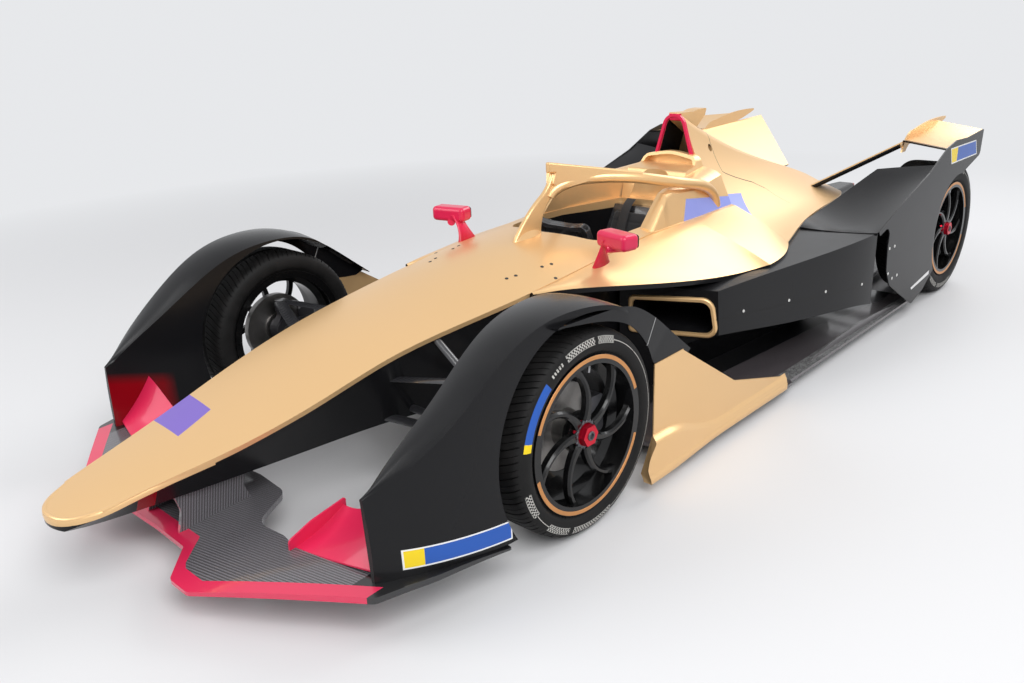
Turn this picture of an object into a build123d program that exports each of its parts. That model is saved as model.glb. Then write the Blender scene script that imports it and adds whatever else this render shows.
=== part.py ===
from build123d import *
from math import cos, radians, sin, tan
import os

# Overall sizes. +X is forward, +Y is left, +Z is up and the wheels stand on Z = 0.
WHEELBASE = 3100.0
FRONT_AXLE_X = 1363.0
REAR_AXLE_X = FRONT_AXLE_X - WHEELBASE
NOSE_TIP_X = 2580.0
TAIL_X = -2580.0
HALF_WIDTH = 885.0

# Seats: pieces that lie on one another meet with this gap where curved faces are close.
SEAT_GAP = 0.3
# Turning and sliding pins have this much room all round.
RUNNING_CLEARANCE = 0.05

# Wheels and tyres.
RIM_BEAD_RADIUS = 228.0
RIM_FLANGE_RADIUS = 246.0
RIM_WALL = 9.0
RIM_WELL_RADIUS = 206.0
SPOKE_COUNT = 7
SPOKE_DEPTH = 24.0
SPOKE_SWEEP_DEG = 26.0
SPOKE_ROOT_RADIUS = 44.0
SPOKE_EDGE = 6.0
HUB_FACE_RADIUS = 64.0
NUT_RADIUS = 34.0
NUT_LENGTH = 36.0
DISC_RADIUS = 139.0
DISC_THICKNESS = 26.0
SPINDLE_RADIUS = 22.0
HUB_INSET = 18.0
HUB_DEPTH = 22.0
FACE_INSET = 6.0
FRONT_TYRE_RADIUS = 322.0
FRONT_TYRE_WIDTH = 230.0
FRONT_TYRE_OUTER_Y = HALF_WIDTH
FRONT_TYRE_INNER_Y = FRONT_TYRE_OUTER_Y - FRONT_TYRE_WIDTH
REAR_TYRE_RADIUS = 345.0
REAR_TYRE_WIDTH = 273.0
REAR_TYRE_OUTER_Y = HALF_WIDTH - 12.0
REAR_TYRE_INNER_Y = REAR_TYRE_OUTER_Y - REAR_TYRE_WIDTH
BEAD_INSET = 16.0
KINGPIN_Y = FRONT_TYRE_OUTER_Y - 173.0

# Body.
DECK_SKIN = 18.0
TUB_BACK_X = -412.0
BULKHEAD_X = 1603.0
COCKPIT_FLOOR_Z = 135.0
FLOOR_Z = 46.0
FLOOR_THICKNESS = 14.0
PLANK_THICKNESS = 12.0
PLANK_HALF_WIDTH = 150.0
PLANK_FRONT_X = 1000.0
PLANK_BACK_X = -1450.0
ARCH_RADIUS = 376.0
PLATE_THICKNESS = 6.0
FENDER_BASE_Z = 128.0
BATTERY_LENGTH = 700.0
BATTERY_HALF_WIDTH = 270.0
BATTERY_BASE_Z = FLOOR_Z + FLOOR_THICKNESS
BATTERY_TOP_Z = 420.0

# Controls.
STEERING_WHEEL_X = 415.0
STEERING_WHEEL_Z = 628.0
STEERING_TILT_DEG = 22.0
STEERING_SHAFT_RADIUS = 11.0
RACK_X = FRONT_AXLE_X + 118.0
RACK_Z = 268.0
RACK_RADIUS = 13.0


def rounded(corners):
    """Lines through a closed loop of corners (u, v, radius), each corner turned by its radius."""
    entries, exits, crowns = [], [], []
    for number, (u, v, radius) in enumerate(corners):
        here = Vector(u, v)
        back = (Vector(*corners[number - 1][:2]) - here).normalized()
        ahead = (Vector(*corners[(number + 1) % len(corners)][:2]) - here).normalized()
        half = radians(back.get_angle(ahead) / 2)
        entries.append(here + back * (radius / tan(half)))
        exits.append(here + ahead * (radius / tan(half)))
        bisector = (back + ahead).normalized() if radius else back
        crowns.append(here + bisector * (radius / sin(half) - radius))
    for number, (u, v, radius) in enumerate(corners):
        if radius:
            ThreePointArc(entries[number], crowns[number], exits[number])
        following = entries[(number + 1) % len(corners)]
        if (following - exits[number]).length > 0.01:
            Line(exits[number], following)


# Nose and tub: x, half width of the top, height of its edge, height of its middle,
# half width of the base, height of the base.
BODY_SECTIONS = (
    (225.0, 331.0, 640.0, 668.0, 300.0, 62.0),
    (515.0, 331.0, 618.0, 662.0, 300.0, 66.0),
    (784.0, 334.0, 592.0, 648.0, 272.0, 105.0),
    (1060.0, 322.0, 562.0, 606.0, 245.0, 165.0),
    (1328.0, 294.0, 533.0, 558.0, 222.0, 220.0),
    (BULKHEAD_X, 266.0, 493.0, 509.0, 200.0, 248.0),
    (1850.0, 248.0, 434.0, 446.0, 165.0, 246.0),
    (2143.0, 198.0, 364.0, 373.0, 130.0, 245.0),
    (2376.0, 146.0, 321.0, 328.0, 102.0, 248.0),
    (NOSE_TIP_X, 80.0, 283.0, 288.0, 62.0, 258.0),
)
LIP_DEPTH = 16.0
LIP_STEP = 9.0
NOSE_ROUND_X = 2478.0
NOSE_ROUND_HALF_WIDTH = 112.0
BODY_BOX = 1000.0


def body_outline(top_y, edge_z, middle_z, base_y, base_z):
    """A body section: a crowned top with a small lip along its edges, on flanks that lean in."""
    ThreePointArc((-top_y, edge_z), (0, middle_z), (top_y, edge_z))
    for side in (-1, 1):
        Polyline(
            (side * top_y, edge_z),
            (side * (top_y - 2), edge_z - LIP_DEPTH),
            (side * (top_y - LIP_STEP), edge_z - LIP_DEPTH - 3),
            (side * base_y, base_z),
        )
    Line((-base_y, base_z), (base_y, base_z))


with BuildPart() as body_front:
    for x, *sizes in BODY_SECTIONS:
        with BuildSketch(Plane.YZ.offset(x)):
            with BuildLine():
                body_outline(*sizes)
            make_face()
    loft()

with BuildPart() as nose_cone:
    add(body_front.part)
    with BuildSketch(Plane.XY.offset(150)):
        with Locations((NOSE_ROUND_X, 0)):
            Ellipse(NOSE_TIP_X - NOSE_ROUND_X, NOSE_ROUND_HALF_WIDTH)
        with Locations(((BULKHEAD_X + NOSE_ROUND_X) / 2, 0)):
            Rectangle(NOSE_ROUND_X - BULKHEAD_X, 700)
    extrude(amount=500, mode=Mode.INTERSECT)

# Cockpit opening: x, y, corner radius.
COCKPIT_OUTLINE = (
    (552.0, 0.0, 60.0),
    (500.0, 224.0, 80.0),
    (440.0, 256.0, 60.0),
    (120.0, 256.0, 120.0),
    (-60.0, 190.0, 60.0),
    (-190.0, 150.0, 20.0),
    (-190.0, -150.0, 20.0),
    (-60.0, -190.0, 60.0),
    (120.0, -256.0, 120.0),
    (440.0, -256.0, 60.0),
    (500.0, -224.0, 80.0),
)
LEG_TUNNEL_FRONT_X = 1290.0
LEG_TUNNEL_BACK_X = 480.0
LEG_TUNNEL_HALF_WIDTH = 165.0
LEG_TUNNEL_TOP_Z = 452.0
LEG_TUNNEL_BASE_Z = 245.0

with BuildPart() as monocoque:
    add(body_front.part)
    with Locations(((TUB_BACK_X + BULKHEAD_X) / 2, 0, BODY_SECTIONS[0][-1] + BODY_BOX / 2)):
        Box(BULKHEAD_X - TUB_BACK_X, BODY_BOX, BODY_BOX, mode=Mode.INTERSECT)
    with BuildSketch(Plane.YZ.offset(TUB_BACK_X)):
        with BuildLine():
            body_outline(*BODY_SECTIONS[0][1:])
        make_face()
    extrude(amount=BODY_SECTIONS[0][0] - TUB_BACK_X)
    with BuildSketch(Plane.XY.offset(COCKPIT_FLOOR_Z)):
        with BuildLine():
            rounded(COCKPIT_OUTLINE)
        make_face()
    extrude(amount=700, mode=Mode.SUBTRACT)
    tunnel_middle_x = (LEG_TUNNEL_FRONT_X + LEG_TUNNEL_BACK_X) / 2
    with Locations((tunnel_middle_x, 0, (LEG_TUNNEL_TOP_Z + LEG_TUNNEL_BASE_Z) / 2)):
        Box(
            LEG_TUNNEL_FRONT_X - LEG_TUNNEL_BACK_X,
            2 * LEG_TUNNEL_HALF_WIDTH,
            LEG_TUNNEL_TOP_Z - LEG_TUNNEL_BASE_Z,
            mode=Mode.SUBTRACT,
        )
    with Locations(Location((RACK_X, 0, RACK_Z), (90, 0, 0))):
        Cylinder(RACK_RADIUS + RUNNING_CLEARANCE, 600, mode=Mode.SUBTRACT)

# Front wing in plan, left half: x, y, corner radius.
WING_PLAN = (
    (2300.0, 0.0, 0.0),
    (2304.0, 168.0, 14.0),
    (2396.0, 262.0, 26.0),
    (2396.0, 352.0, 40.0),
    (2122.0, HALF_WIDTH - 91.0, 30.0),
    (1960.0, HALF_WIDTH - 39.0, 260.0),
    (1716.0, HALF_WIDTH - 1.0, 8.0),
    (1712.0, HALF_WIDTH - 85.0, 8.0),
    (1838.0, HALF_WIDTH - 109.0, 20.0),
    (1930.0, 640.0, 60.0),
    (2010.0, 500.0, 60.0),
    (2116.0, 440.0, 20.0),
    (2104.0, 370.0, 60.0),
    (2114.0, 250.0, 70.0),
    (1962.0, 160.0, 60.0),
    (1948.0, 0.0, 0.0),
)
# Front wing from the side: leading edge, highest line and trailing edge, x and z.
WING_LEAD = (2400.0, 100.0)
WING_CROWN = (2180.0, 128.0)
WING_TAIL = (1700.0, 116.0)
WING_NOSE_THICKNESS = 12.0
WING_THICKNESS = 18.0
WING_TAIL_THICKNESS = 5.0
PYLON_Y = 96.0
PYLON_THICKNESS = 12.0
# Pylon from the side: x, z, corner radius.
PYLON = (
    (2286.0, 104.0, 0.0),
    (2262.0, 190.0, 40.0),
    (2290.0, 300.0, 0.0),
    (2030.0, 300.0, 0.0),
    (2062.0, 190.0, 40.0),
    (2030.0, 104.0, 0.0),
)

with BuildPart() as front_wing:
    with BuildSketch(Plane.XY.offset(60)):
        with BuildLine():
            rounded(WING_PLAN)
        make_face()
        mirror(about=Plane.XZ)
    extrude(amount=120)
    with BuildSketch(Plane.XZ.offset(-HALF_WIDTH)):
        with BuildLine():
            ThreePointArc(
                (WING_LEAD[0], WING_LEAD[1] + WING_NOSE_THICKNESS / 2),
                (WING_CROWN[0], WING_CROWN[1] + WING_THICKNESS / 2),
                (WING_TAIL[0], WING_TAIL[1] + WING_TAIL_THICKNESS / 2),
            )
            Line(
                (WING_TAIL[0], WING_TAIL[1] + WING_TAIL_THICKNESS / 2),
                (WING_TAIL[0], WING_TAIL[1] - WING_TAIL_THICKNESS / 2),
            )
            ThreePointArc(
                (WING_TAIL[0], WING_TAIL[1] - WING_TAIL_THICKNESS / 2),
                (WING_CROWN[0], WING_CROWN[1] - WING_THICKNESS / 2),
                (WING_LEAD[0], WING_LEAD[1] - WING_NOSE_THICKNESS / 2),
            )
            Line(
                (WING_LEAD[0], WING_LEAD[1] - WING_NOSE_THICKNESS / 2),
                (WING_LEAD[0], WING_LEAD[1] + WING_NOSE_THICKNESS / 2),
            )
        make_face()
    extrude(amount=2 * HALF_WIDTH, mode=Mode.INTERSECT)
    for side in (-1, 1):
        with BuildSketch(Plane.XZ.offset(-side * PYLON_Y + PYLON_THICKNESS / 2)):
            with BuildLine():
                rounded(PYLON)
            make_face()
        extrude(amount=-PYLON_THICKNESS)
    add(nose_cone.part, mode=Mode.SUBTRACT)

# Fender over the left front wheel: x from the axle, then, as insets from the car's side with
# their heights, inner ridge and outer ridge, and the insets of outer foot and inner foot.
FENDER_SECTIONS = (
    (722.0, 163.0, 370.0, 153.0, 371.0, 137.0, 147.0),
    (635.0, 169.0, 428.0, 105.0, 428.0, 85.0, 173.0),
    (534.0, 177.0, 490.0, 62.0, 498.0, 47.0, 195.0),
    (402.0, 188.0, 572.0, 42.0, 594.0, 17.0, 217.0),
    (264.0, 205.0, 653.0, 37.0, 676.0, 5.0, 230.0),
    (92.0, 221.0, 702.0, 27.0, 716.0, 1.0, 237.0),
    (-60.0, 231.0, 702.0, 7.0, 708.0, 0.0, 240.0),
    (-221.0, 235.0, 622.0, 11.0, 628.0, 9.0, 240.0),
    (-481.0, 235.0, 440.0, 35.0, 446.0, 33.0, 240.0),
)
FENDER_CROWN = 9.0
FENDER_BELLY = 7.0
FENDER_WALL = 7.0
FENDER_TAIL_BASE_Z = 380.0


def fender_loft(sections, inset):
    """The fender's outer form, or the hollow in it where inset is the wall."""
    with BuildPart() as form:
        for x, inner, inner_z, outer, outer_z, foot, root in sections:
            inner_y, outer_y = HALF_WIDTH - inner, HALF_WIDTH - outer
            foot_y, root_y = HALF_WIDTH - foot, HALF_WIDTH - root
            base_z = FENDER_BASE_Z - inset
            ridges = (inner_y + inset, inner_z - inset), (outer_y - inset, outer_z - inset)
            feet = (root_y + inset, base_z), (foot_y - inset, base_z)
            middle_y, middle_z = (inner_y + outer_y) / 2, (inner_z + outer_z) / 2
            flank_y, flank_z = (outer_y + foot_y) / 2, (outer_z + FENDER_BASE_Z) / 2
            with BuildSketch(Plane.YZ.offset(FRONT_AXLE_X + x)):
                with BuildLine():
                    Line(feet[0], ridges[0])
                    ThreePointArc(ridges[0], (middle_y, middle_z + FENDER_CROWN - inset), ridges[1])
                    ThreePointArc(ridges[1], (flank_y + FENDER_BELLY - inset, flank_z), feet[1])
                    Line(feet[1], feet[0])
                make_face()
        loft()
    return form.part


with BuildPart() as fender_body:
    add(fender_loft(FENDER_SECTIONS, 0))
    add(fender_loft(FENDER_SECTIONS[1:-2], FENDER_WALL), mode=Mode.SUBTRACT)
    with Locations(Location((FRONT_AXLE_X, HALF_WIDTH - 115, FRONT_TYRE_RADIUS), (90, 0, 0))):
        Cylinder(ARCH_RADIUS, 400, mode=Mode.SUBTRACT)
    with Locations((FRONT_AXLE_X - 400, HALF_WIDTH - 115, FENDER_TAIL_BASE_Z / 2)):
        Box(500, 400, FENDER_TAIL_BASE_Z, mode=Mode.SUBTRACT)
    add(front_wing.part, mode=Mode.SUBTRACT)

with BuildPart() as fender_left:
    add(fender_body.part.solids().sort_by(SortBy.VOLUME)[-1])

with BuildPart() as fender_right:
    mirror(fender_left.part, about=Plane.XZ)

# Flaps, left side: y, leading edge x and z, trailing edge x and z.
FLAP_SECTIONS = (
    (446.0, 2118.0, 140.0, 1948.0, 197.0),
    (560.0, 2098.0, 144.0, 1946.0, 226.0),
    (650.0, 2080.0, 150.0, 1946.0, 276.0),
    (742.0, 2060.0, 158.0, 1948.0, 312.0),
)
FLAP_THICKNESS = 12.0
FLAP_CAMBER = 14.0
FLAP_EDGE = 5.0
FENCE_THICKNESS = 6.0
# Fence at the flap's inner end: x, z, corner radius.
FLAP_FENCE = (
    (2136.0, 110.0, 0.0),
    (2136.0, 168.0, 16.0),
    (2060.0, 196.0, 60.0),
    (1938.0, 218.0, 6.0),
    (1940.0, 172.0, 20.0),
    (2070.0, 110.0, 0.0),
)

with BuildPart() as flap_left:
    for y, lead_x, lead_z, tail_x, tail_z in FLAP_SECTIONS:
        middle_x, middle_z = (lead_x + tail_x) / 2, (lead_z + tail_z) / 2 - FLAP_CAMBER
        with BuildSketch(Plane.XZ.offset(-y)):
            with BuildLine():
                Line((lead_x, lead_z - FLAP_EDGE / 2), (lead_x, lead_z + FLAP_EDGE / 2))
                ThreePointArc(
                    (lead_x, lead_z + FLAP_EDGE / 2),
                    (middle_x, middle_z + FLAP_THICKNESS / 2),
                    (tail_x, tail_z + FLAP_EDGE / 2),
                )
                Line((tail_x, tail_z + FLAP_EDGE / 2), (tail_x, tail_z - FLAP_EDGE / 2))
                ThreePointArc(
                    (tail_x, tail_z - FLAP_EDGE / 2),
                    (middle_x, middle_z - FLAP_THICKNESS / 2),
                    (lead_x, lead_z - FLAP_EDGE / 2),
                )
            make_face()
    loft()
    with BuildSketch(Plane.XZ.offset(-FLAP_SECTIONS[0][0])):
        with BuildLine():
            rounded(FLAP_FENCE)
        make_face()
    extrude(amount=FENCE_THICKNESS)
    add(front_wing.part, mode=Mode.SUBTRACT)
    add(fender_left.part, mode=Mode.SUBTRACT)

with BuildPart() as front_wing_flaps:
    add(flap_left.part.solids().sort_by(SortBy.VOLUME)[-1])
    mirror(about=Plane.XZ)

# Deck beside the tub, left side: x, inner edge y and z, outer edge y and z. The front run
# widens to the flank, the back run draws in under the cover.
DECK_FRONT_SECTIONS = (
    (1000.0, 329.0, 568.0, 342.0, 564.0),
    (914.0, 332.0, 577.0, 374.0, 565.0),
    (784.0, 335.0, 590.0, 430.0, 556.0),
    (515.0, 332.0, 616.0, 560.0, 530.0),
    (147.0, 331.5, 638.0, 646.0, 492.0),
    (-54.0, 331.5, 640.0, 700.0, 497.0),
)
DECK_BACK_SECTIONS = (
    (-54.0, 331.5, 640.0, 700.0, 497.0),
    (-255.0, 331.5, 640.0, 668.0, 500.0),
    (TUB_BACK_X, 331.5, 640.0, 600.0, 506.0),
)
DECK_CROWN = 7.0

with BuildPart() as deck_left:
    for sections in (DECK_FRONT_SECTIONS, DECK_BACK_SECTIONS):
        for x, inner_y, inner_z, outer_y, outer_z in sections:
            crown = ((inner_y + outer_y) / 2, (inner_z + outer_z) / 2 + DECK_CROWN)
            with BuildSketch(Plane.YZ.offset(x)):
                with BuildLine():
                    ThreePointArc((inner_y, inner_z), crown, (outer_y, outer_z))
                    Polyline(
                        (outer_y, outer_z),
                        (outer_y, outer_z - DECK_SKIN),
                        (inner_y - 30, inner_z - DECK_SKIN - 12),
                        (inner_y, inner_z),
                    )
                make_face()
        loft()
    add(monocoque.part, mode=Mode.SUBTRACT)

with BuildPart() as cockpit_deck:
    add(deck_left.part.solids().sort_by(SortBy.VOLUME)[-1])
    mirror(about=Plane.XZ)

# Flank pod, left side: x, inner top z, ridge y and z, lower edge y and z, foot y.
SIDEPOD_SECTIONS = (
    (520.0, 520.0, 636.0, 452.0, 652.0, 300.0, 440.0),
    (330.0, 512.0, 686.0, 474.0, 694.0, 296.0, 470.0),
    (26.0, 505.0, 742.0, 487.0, 752.0, 262.0, 500.0),
    (-412.0, 500.0, 828.0, 504.0, 836.0, 226.0, 530.0),
    (-720.0, 500.0, 873.0, 520.0, 873.0, 188.0, 540.0),
)
SIDEPOD_INNER_Y = 334.0
SIDEPOD_BASE_Z = FLOOR_Z + FLOOR_THICKNESS
SIDEPOD_DISH = 9.0
UNDERCUT_DISH = 34.0
INLET_DEPTH = 260.0
# The inlet's slanted mouth, seen along its own normal: distance outward, z, corner radius.
INLET_ORIGIN = (450.0, 400.0, 0.0)
INLET_NORMAL = (0.9209, 0.3898, 0.0)
INLET_ALONG = (-0.3898, 0.9209, 0.0)
INLET_MOUTH = (
    (-20.0, 300.0, 16.0),
    (-20.0, 424.0, 16.0),
    (282.0, 430.0, 42.0),
    (304.0, 300.0, 30.0),
)
INLET_LIP = (
    (-36.0, 284.0, 24.0),
    (-36.0, 440.0, 24.0),
    (297.0, 447.0, 54.0),
    (322.0, 284.0, 42.0),
)
INLET_LIP_PROUD = 14.0

with BuildPart() as flank_left:
    for x, top_z, ridge_y, ridge_z, lower_y, lower_z, foot_y in SIDEPOD_SECTIONS:
        dish = ((SIDEPOD_INNER_Y + ridge_y) / 2, (top_z + ridge_z) / 2 - SIDEPOD_DISH)
        waist = ((lower_y + foot_y) / 2 - UNDERCUT_DISH, (lower_z + SIDEPOD_BASE_Z) / 2 + UNDERCUT_DISH)
        with BuildSketch(Plane.YZ.offset(x)):
            with BuildLine():
                Line((foot_y, SIDEPOD_BASE_Z), (SIDEPOD_INNER_Y, SIDEPOD_BASE_Z))
                Line((SIDEPOD_INNER_Y, SIDEPOD_BASE_Z), (SIDEPOD_INNER_Y, top_z))
                ThreePointArc((SIDEPOD_INNER_Y, top_z), dish, (ridge_y, ridge_z))
                Line((ridge_y, ridge_z), (lower_y, lower_z))
                ThreePointArc((lower_y, lower_z), waist, (foot_y, SIDEPOD_BASE_Z))
            make_face()
    loft()
    mouth_plane = Plane(origin=INLET_ORIGIN, x_dir=INLET_ALONG, z_dir=INLET_NORMAL)
    with BuildSketch(mouth_plane):
        with Locations((150, 300)):
            Rectangle(900, 700)
    extrude(amount=400, mode=Mode.SUBTRACT)
    with BuildSketch(mouth_plane):
        with BuildLine():
            rounded(INLET_LIP)
        make_face()
    extrude(amount=INLET_LIP_PROUD)
    fillet(faces().sort_by(Axis(INLET_ORIGIN, INLET_NORMAL))[-1].edges(), 9)
    with BuildSketch(mouth_plane.offset(INLET_LIP_PROUD)):
        with BuildLine():
            rounded(INLET_MOUTH)
        make_face()
    extrude(amount=-INLET_DEPTH, taper=8, mode=Mode.SUBTRACT)
    add(deck_left.part, mode=Mode.SUBTRACT)

with BuildPart() as sidepod_left:
    add(flank_left.part.solids().sort_by(SortBy.VOLUME)[-1])

with BuildPart() as sidepod_right:
    mirror(sidepod_left.part, about=Plane.XZ)

# Engine cover: x, spine z, half width and z of the crown's edge, half width and z of the
# flank's middle, half width and z of the hem.
COVER_SECTIONS = (
    (TUB_BACK_X, 1036.0, 62.0, 985.0, 168.0, 762.0, 600.0, 506.0),
    (-677.0, 917.0, 56.0, 880.0, 176.0, 690.0, 520.0, 512.0),
    (-1011.0, 792.0, 52.0, 770.0, 180.0, 632.0, 440.0, 514.0),
    (-1433.0, 667.0, 46.0, 654.0, 170.0, 574.0, 372.0, 512.0),
    (-1755.0, 571.0, 40.0, 564.0, 130.0, 528.0, 240.0, 490.0),
)
COVER_BASE_Z = 430.0
HOOP_RIM = 13.0
HOOP_DEPTH = 16.0
AIR_INTAKE_DEPTH = 150.0
LIFTING_HOLE_X = -600.0
LIFTING_HOLE_Z = 860.0
LIFTING_HOLE_RADIUS = 18.0

with BuildPart() as engine_cover:
    for x, spine_z, crown_y, crown_z, flank_y, flank_z, hem_y, hem_z in COVER_SECTIONS:
        with BuildSketch(Plane.YZ.offset(x)):
            with BuildLine():
                ThreePointArc((-crown_y, crown_z), (0, spine_z), (crown_y, crown_z))
                for side in (-1, 1):
                    ThreePointArc(
                        (side * crown_y, crown_z), (side * flank_y, flank_z), (side * hem_y, hem_z)
                    )
                    Line((side * hem_y, hem_z), (side * hem_y, COVER_BASE_Z))
                Line((-hem_y, COVER_BASE_Z), (hem_y, COVER_BASE_Z))
            make_face()
    loft()
    add(sidepod_left.part, mode=Mode.SUBTRACT)
    add(sidepod_right.part, mode=Mode.SUBTRACT)
    with BuildSketch(Plane.YZ.offset(TUB_BACK_X)):
        with BuildLine():
            ThreePointArc((-49, 982), (0, 1021), (49, 982))
            Polyline((49, 982), (100, 812), (-100, 812), (-49, 982))
        make_face()
    extrude(amount=-AIR_INTAKE_DEPTH, taper=6, mode=Mode.SUBTRACT)
    with Locations(Location((LIFTING_HOLE_X, 0, LIFTING_HOLE_Z), (90, 0, 0))):
        Cylinder(LIFTING_HOLE_RADIUS, 600, mode=Mode.SUBTRACT)

# Guard at the left rear wheel, from the side: x, z, corner radius.
GUARD_FRONT = (
    (-1500.0, 180.0, 0.0),
    (-1372.0, 100.0, 20.0),
    (-1230.0, 61.0, 14.0),
    (-1059.0, 148.0, 30.0),
    (-898.0, 236.0, 60.0),
    (-842.0, 320.0, 60.0),
    (-826.0, 460.0, 60.0),
    (-930.0, 560.0, 40.0),
    (-722.0, 508.0, 0.0),
    (-706.0, 527.0, 0.0),
    (-961.0, 614.0, 300.0),
    (-1276.0, 706.0, 40.0),
    (-1493.0, 798.0, 60.0),
    (-1616.0, 822.0, 80.0),
    (-1800.0, 816.0, 300.0),
    (-2042.0, 832.0, 4.0),
    (-2030.0, 700.0, 30.0),
    (-1790.0, 640.0, 0.0),
)
GUARD_CUT_RADIUS = 292.0
# Ramp over the wheel: x, inner edge y and z, middle y and z, height of its outer edge.
RAMP_SECTIONS = (
    (-700.0, 517.0, 507.0, 700.0, 508.0, 524.0),
    (-961.0, 452.0, 508.0, 672.0, 528.0, 608.0),
    (-1150.0, 470.0, 548.0, 676.0, 600.0, 664.0),
    (-1276.0, 545.0, 634.0, 715.0, 672.0, 700.0),
    (-1352.0, 602.0, 694.0, 742.0, 716.0, 734.0),
)
RAMP_SKIN = 12.0

with BuildPart() as guard_form:
    with BuildSketch(Plane.XZ.offset(-HALF_WIDTH)):
        with BuildLine():
            rounded(GUARD_FRONT)
        make_face()
        with Locations((REAR_AXLE_X, REAR_TYRE_RADIUS)):
            Circle(GUARD_CUT_RADIUS, mode=Mode.SUBTRACT)
    extrude(amount=PLATE_THICKNESS)
    for x, inner_y, inner_z, middle_y, middle_z, outer_z in RAMP_SECTIONS:
        outer_y = HALF_WIDTH - PLATE_THICKNESS
        with BuildSketch(Plane.YZ.offset(x)):
            with BuildLine():
                ThreePointArc((inner_y, inner_z), (middle_y, middle_z), (outer_y, outer_z))
                Line((outer_y, outer_z), (outer_y, outer_z - RAMP_SKIN))
                ThreePointArc(
                    (outer_y, outer_z - RAMP_SKIN),
                    (middle_y, middle_z - RAMP_SKIN),
                    (inner_y, inner_z - RAMP_SKIN),
                )
                Line((inner_y, inner_z - RAMP_SKIN), (inner_y, inner_z))
            make_face()
    loft()
    add(engine_cover.part, mode=Mode.SUBTRACT)
    add(sidepod_left.part, mode=Mode.SUBTRACT)

with BuildPart() as rear_guard_left:
    add(guard_form.part.solids().sort_by(SortBy.VOLUME)[-1])

with BuildPart() as rear_guard_right:
    mirror(rear_guard_left.part, about=Plane.XZ)

# Rear wing, left: y, leading edge x and z, trailing edge x and z.
REAR_WING_SECTIONS = (
    (606.0, -1650.0, 798.0, -2150.0, 850.0),
    (HALF_WIDTH - PLATE_THICKNESS, -1493.0, 790.0, -2042.0, 826.0),
)
REAR_WING_THICKNESS = 18.0
REAR_WING_CAMBER = 26.0
REAR_WING_EDGE = 8.0
WING_FENCE_Y = 600.0
WING_FENCE_THICKNESS = 8.0
# Strut between the tail and the wing: x front, x back, y, z.
STRUT_SECTIONS = (
    (-1479.0, -1990.0, 190.0, 550.0),
    (-1662.0, -2390.0, 604.0, 794.0),
)
STRUT_NOSE = 30.0
STRUT_TAIL = 5.0

with BuildPart() as rear_wing_left:
    for y, lead_x, lead_z, tail_x, tail_z in REAR_WING_SECTIONS:
        middle_x = (lead_x + tail_x) / 2
        middle_z = (lead_z + tail_z) / 2 - REAR_WING_CAMBER
        with BuildSketch(Plane.XZ.offset(-y)):
            with BuildLine():
                Line((lead_x, lead_z - REAR_WING_EDGE / 2), (lead_x, lead_z + REAR_WING_EDGE / 2))
                ThreePointArc(
                    (lead_x, lead_z + REAR_WING_EDGE / 2),
                    (middle_x, middle_z + REAR_WING_THICKNESS / 2),
                    (tail_x, tail_z + REAR_WING_EDGE / 2),
                )
                Line((tail_x, tail_z + REAR_WING_EDGE / 2), (tail_x, tail_z - REAR_WING_EDGE / 2))
                ThreePointArc(
                    (tail_x, tail_z - REAR_WING_EDGE / 2),
                    (middle_x, middle_z - REAR_WING_THICKNESS / 2),
                    (lead_x, lead_z - REAR_WING_EDGE / 2),
                )
            make_face()
    loft()
    with BuildSketch(Plane.XZ.offset(-WING_FENCE_Y)):
        with BuildLine():
            ThreePointArc((-1652, 738), (-1690, 800), (-1800, 842))
            ThreePointArc((-1800, 842), (-2040, 868), (-2280, 866))
            Line((-2280, 866), (-2280, 856))
            ThreePointArc((-2280, 856), (-2060, 806), (-1860, 784))
            ThreePointArc((-1860, 784), (-1740, 770), (-1700, 738))
            Line((-1700, 738), (-1652, 738))
        make_face()
    extrude(amount=-WING_FENCE_THICKNESS)
    for front_x, back_x, y, z in STRUT_SECTIONS:
        with BuildSketch(Plane.XZ.offset(-y)):
            with BuildLine():
                ThreePointArc(
                    (front_x, z + 2),
                    (front_x + STRUT_NOSE * 0.6, z - STRUT_NOSE / 2),
                    (front_x, z - STRUT_NOSE),
                )
                Polyline(
                    (front_x, z - STRUT_NOSE),
                    (back_x, z + 20 - STRUT_TAIL),
                    (back_x, z + 20),
                    (front_x, z + 2),
                )
            make_face()
    loft()
    add(engine_cover.part, mode=Mode.SUBTRACT)
    add(rear_guard_left.part, mode=Mode.SUBTRACT)

with BuildPart() as rear_wings:
    add(rear_wing_left.part.solids().sort_by(SortBy.VOLUME)[-1])
    mirror(about=Plane.XZ)

# Floor outline, left half: x, y, corner radius.
FLOOR_OUTLINE = (
    (1180.0, 0.0, 0.0),
    (1160.0, 190.0, 60.0),
    (930.0, 330.0, 90.0),
    (840.0, HALF_WIDTH, 30.0),
    (60.0, HALF_WIDTH, 10.0),
    (40.0, HALF_WIDTH - 18.0, 10.0),
    (-1224.0, HALF_WIDTH - 32.0, 0.0),
    (-1352.0, HALF_WIDTH - 35.0, 14.0),
    (-1352.0, 575.0, 20.0),
    (-1500.0, 560.0, 0.0),
    (-1500.0, 0.0, 0.0),
)
# Turned-up edge of the floor: x, y, height.
FLOOR_FENCE_HEIGHT = 36.0
FLOOR_FENCE_THICKNESS = 5.0
FLOOR_FENCE_FRONT_X = -180.0
FLOOR_FENCE_BACK_X = -1180.0
FLOOR_FENCE_Y = HALF_WIDTH - 47.0

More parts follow.
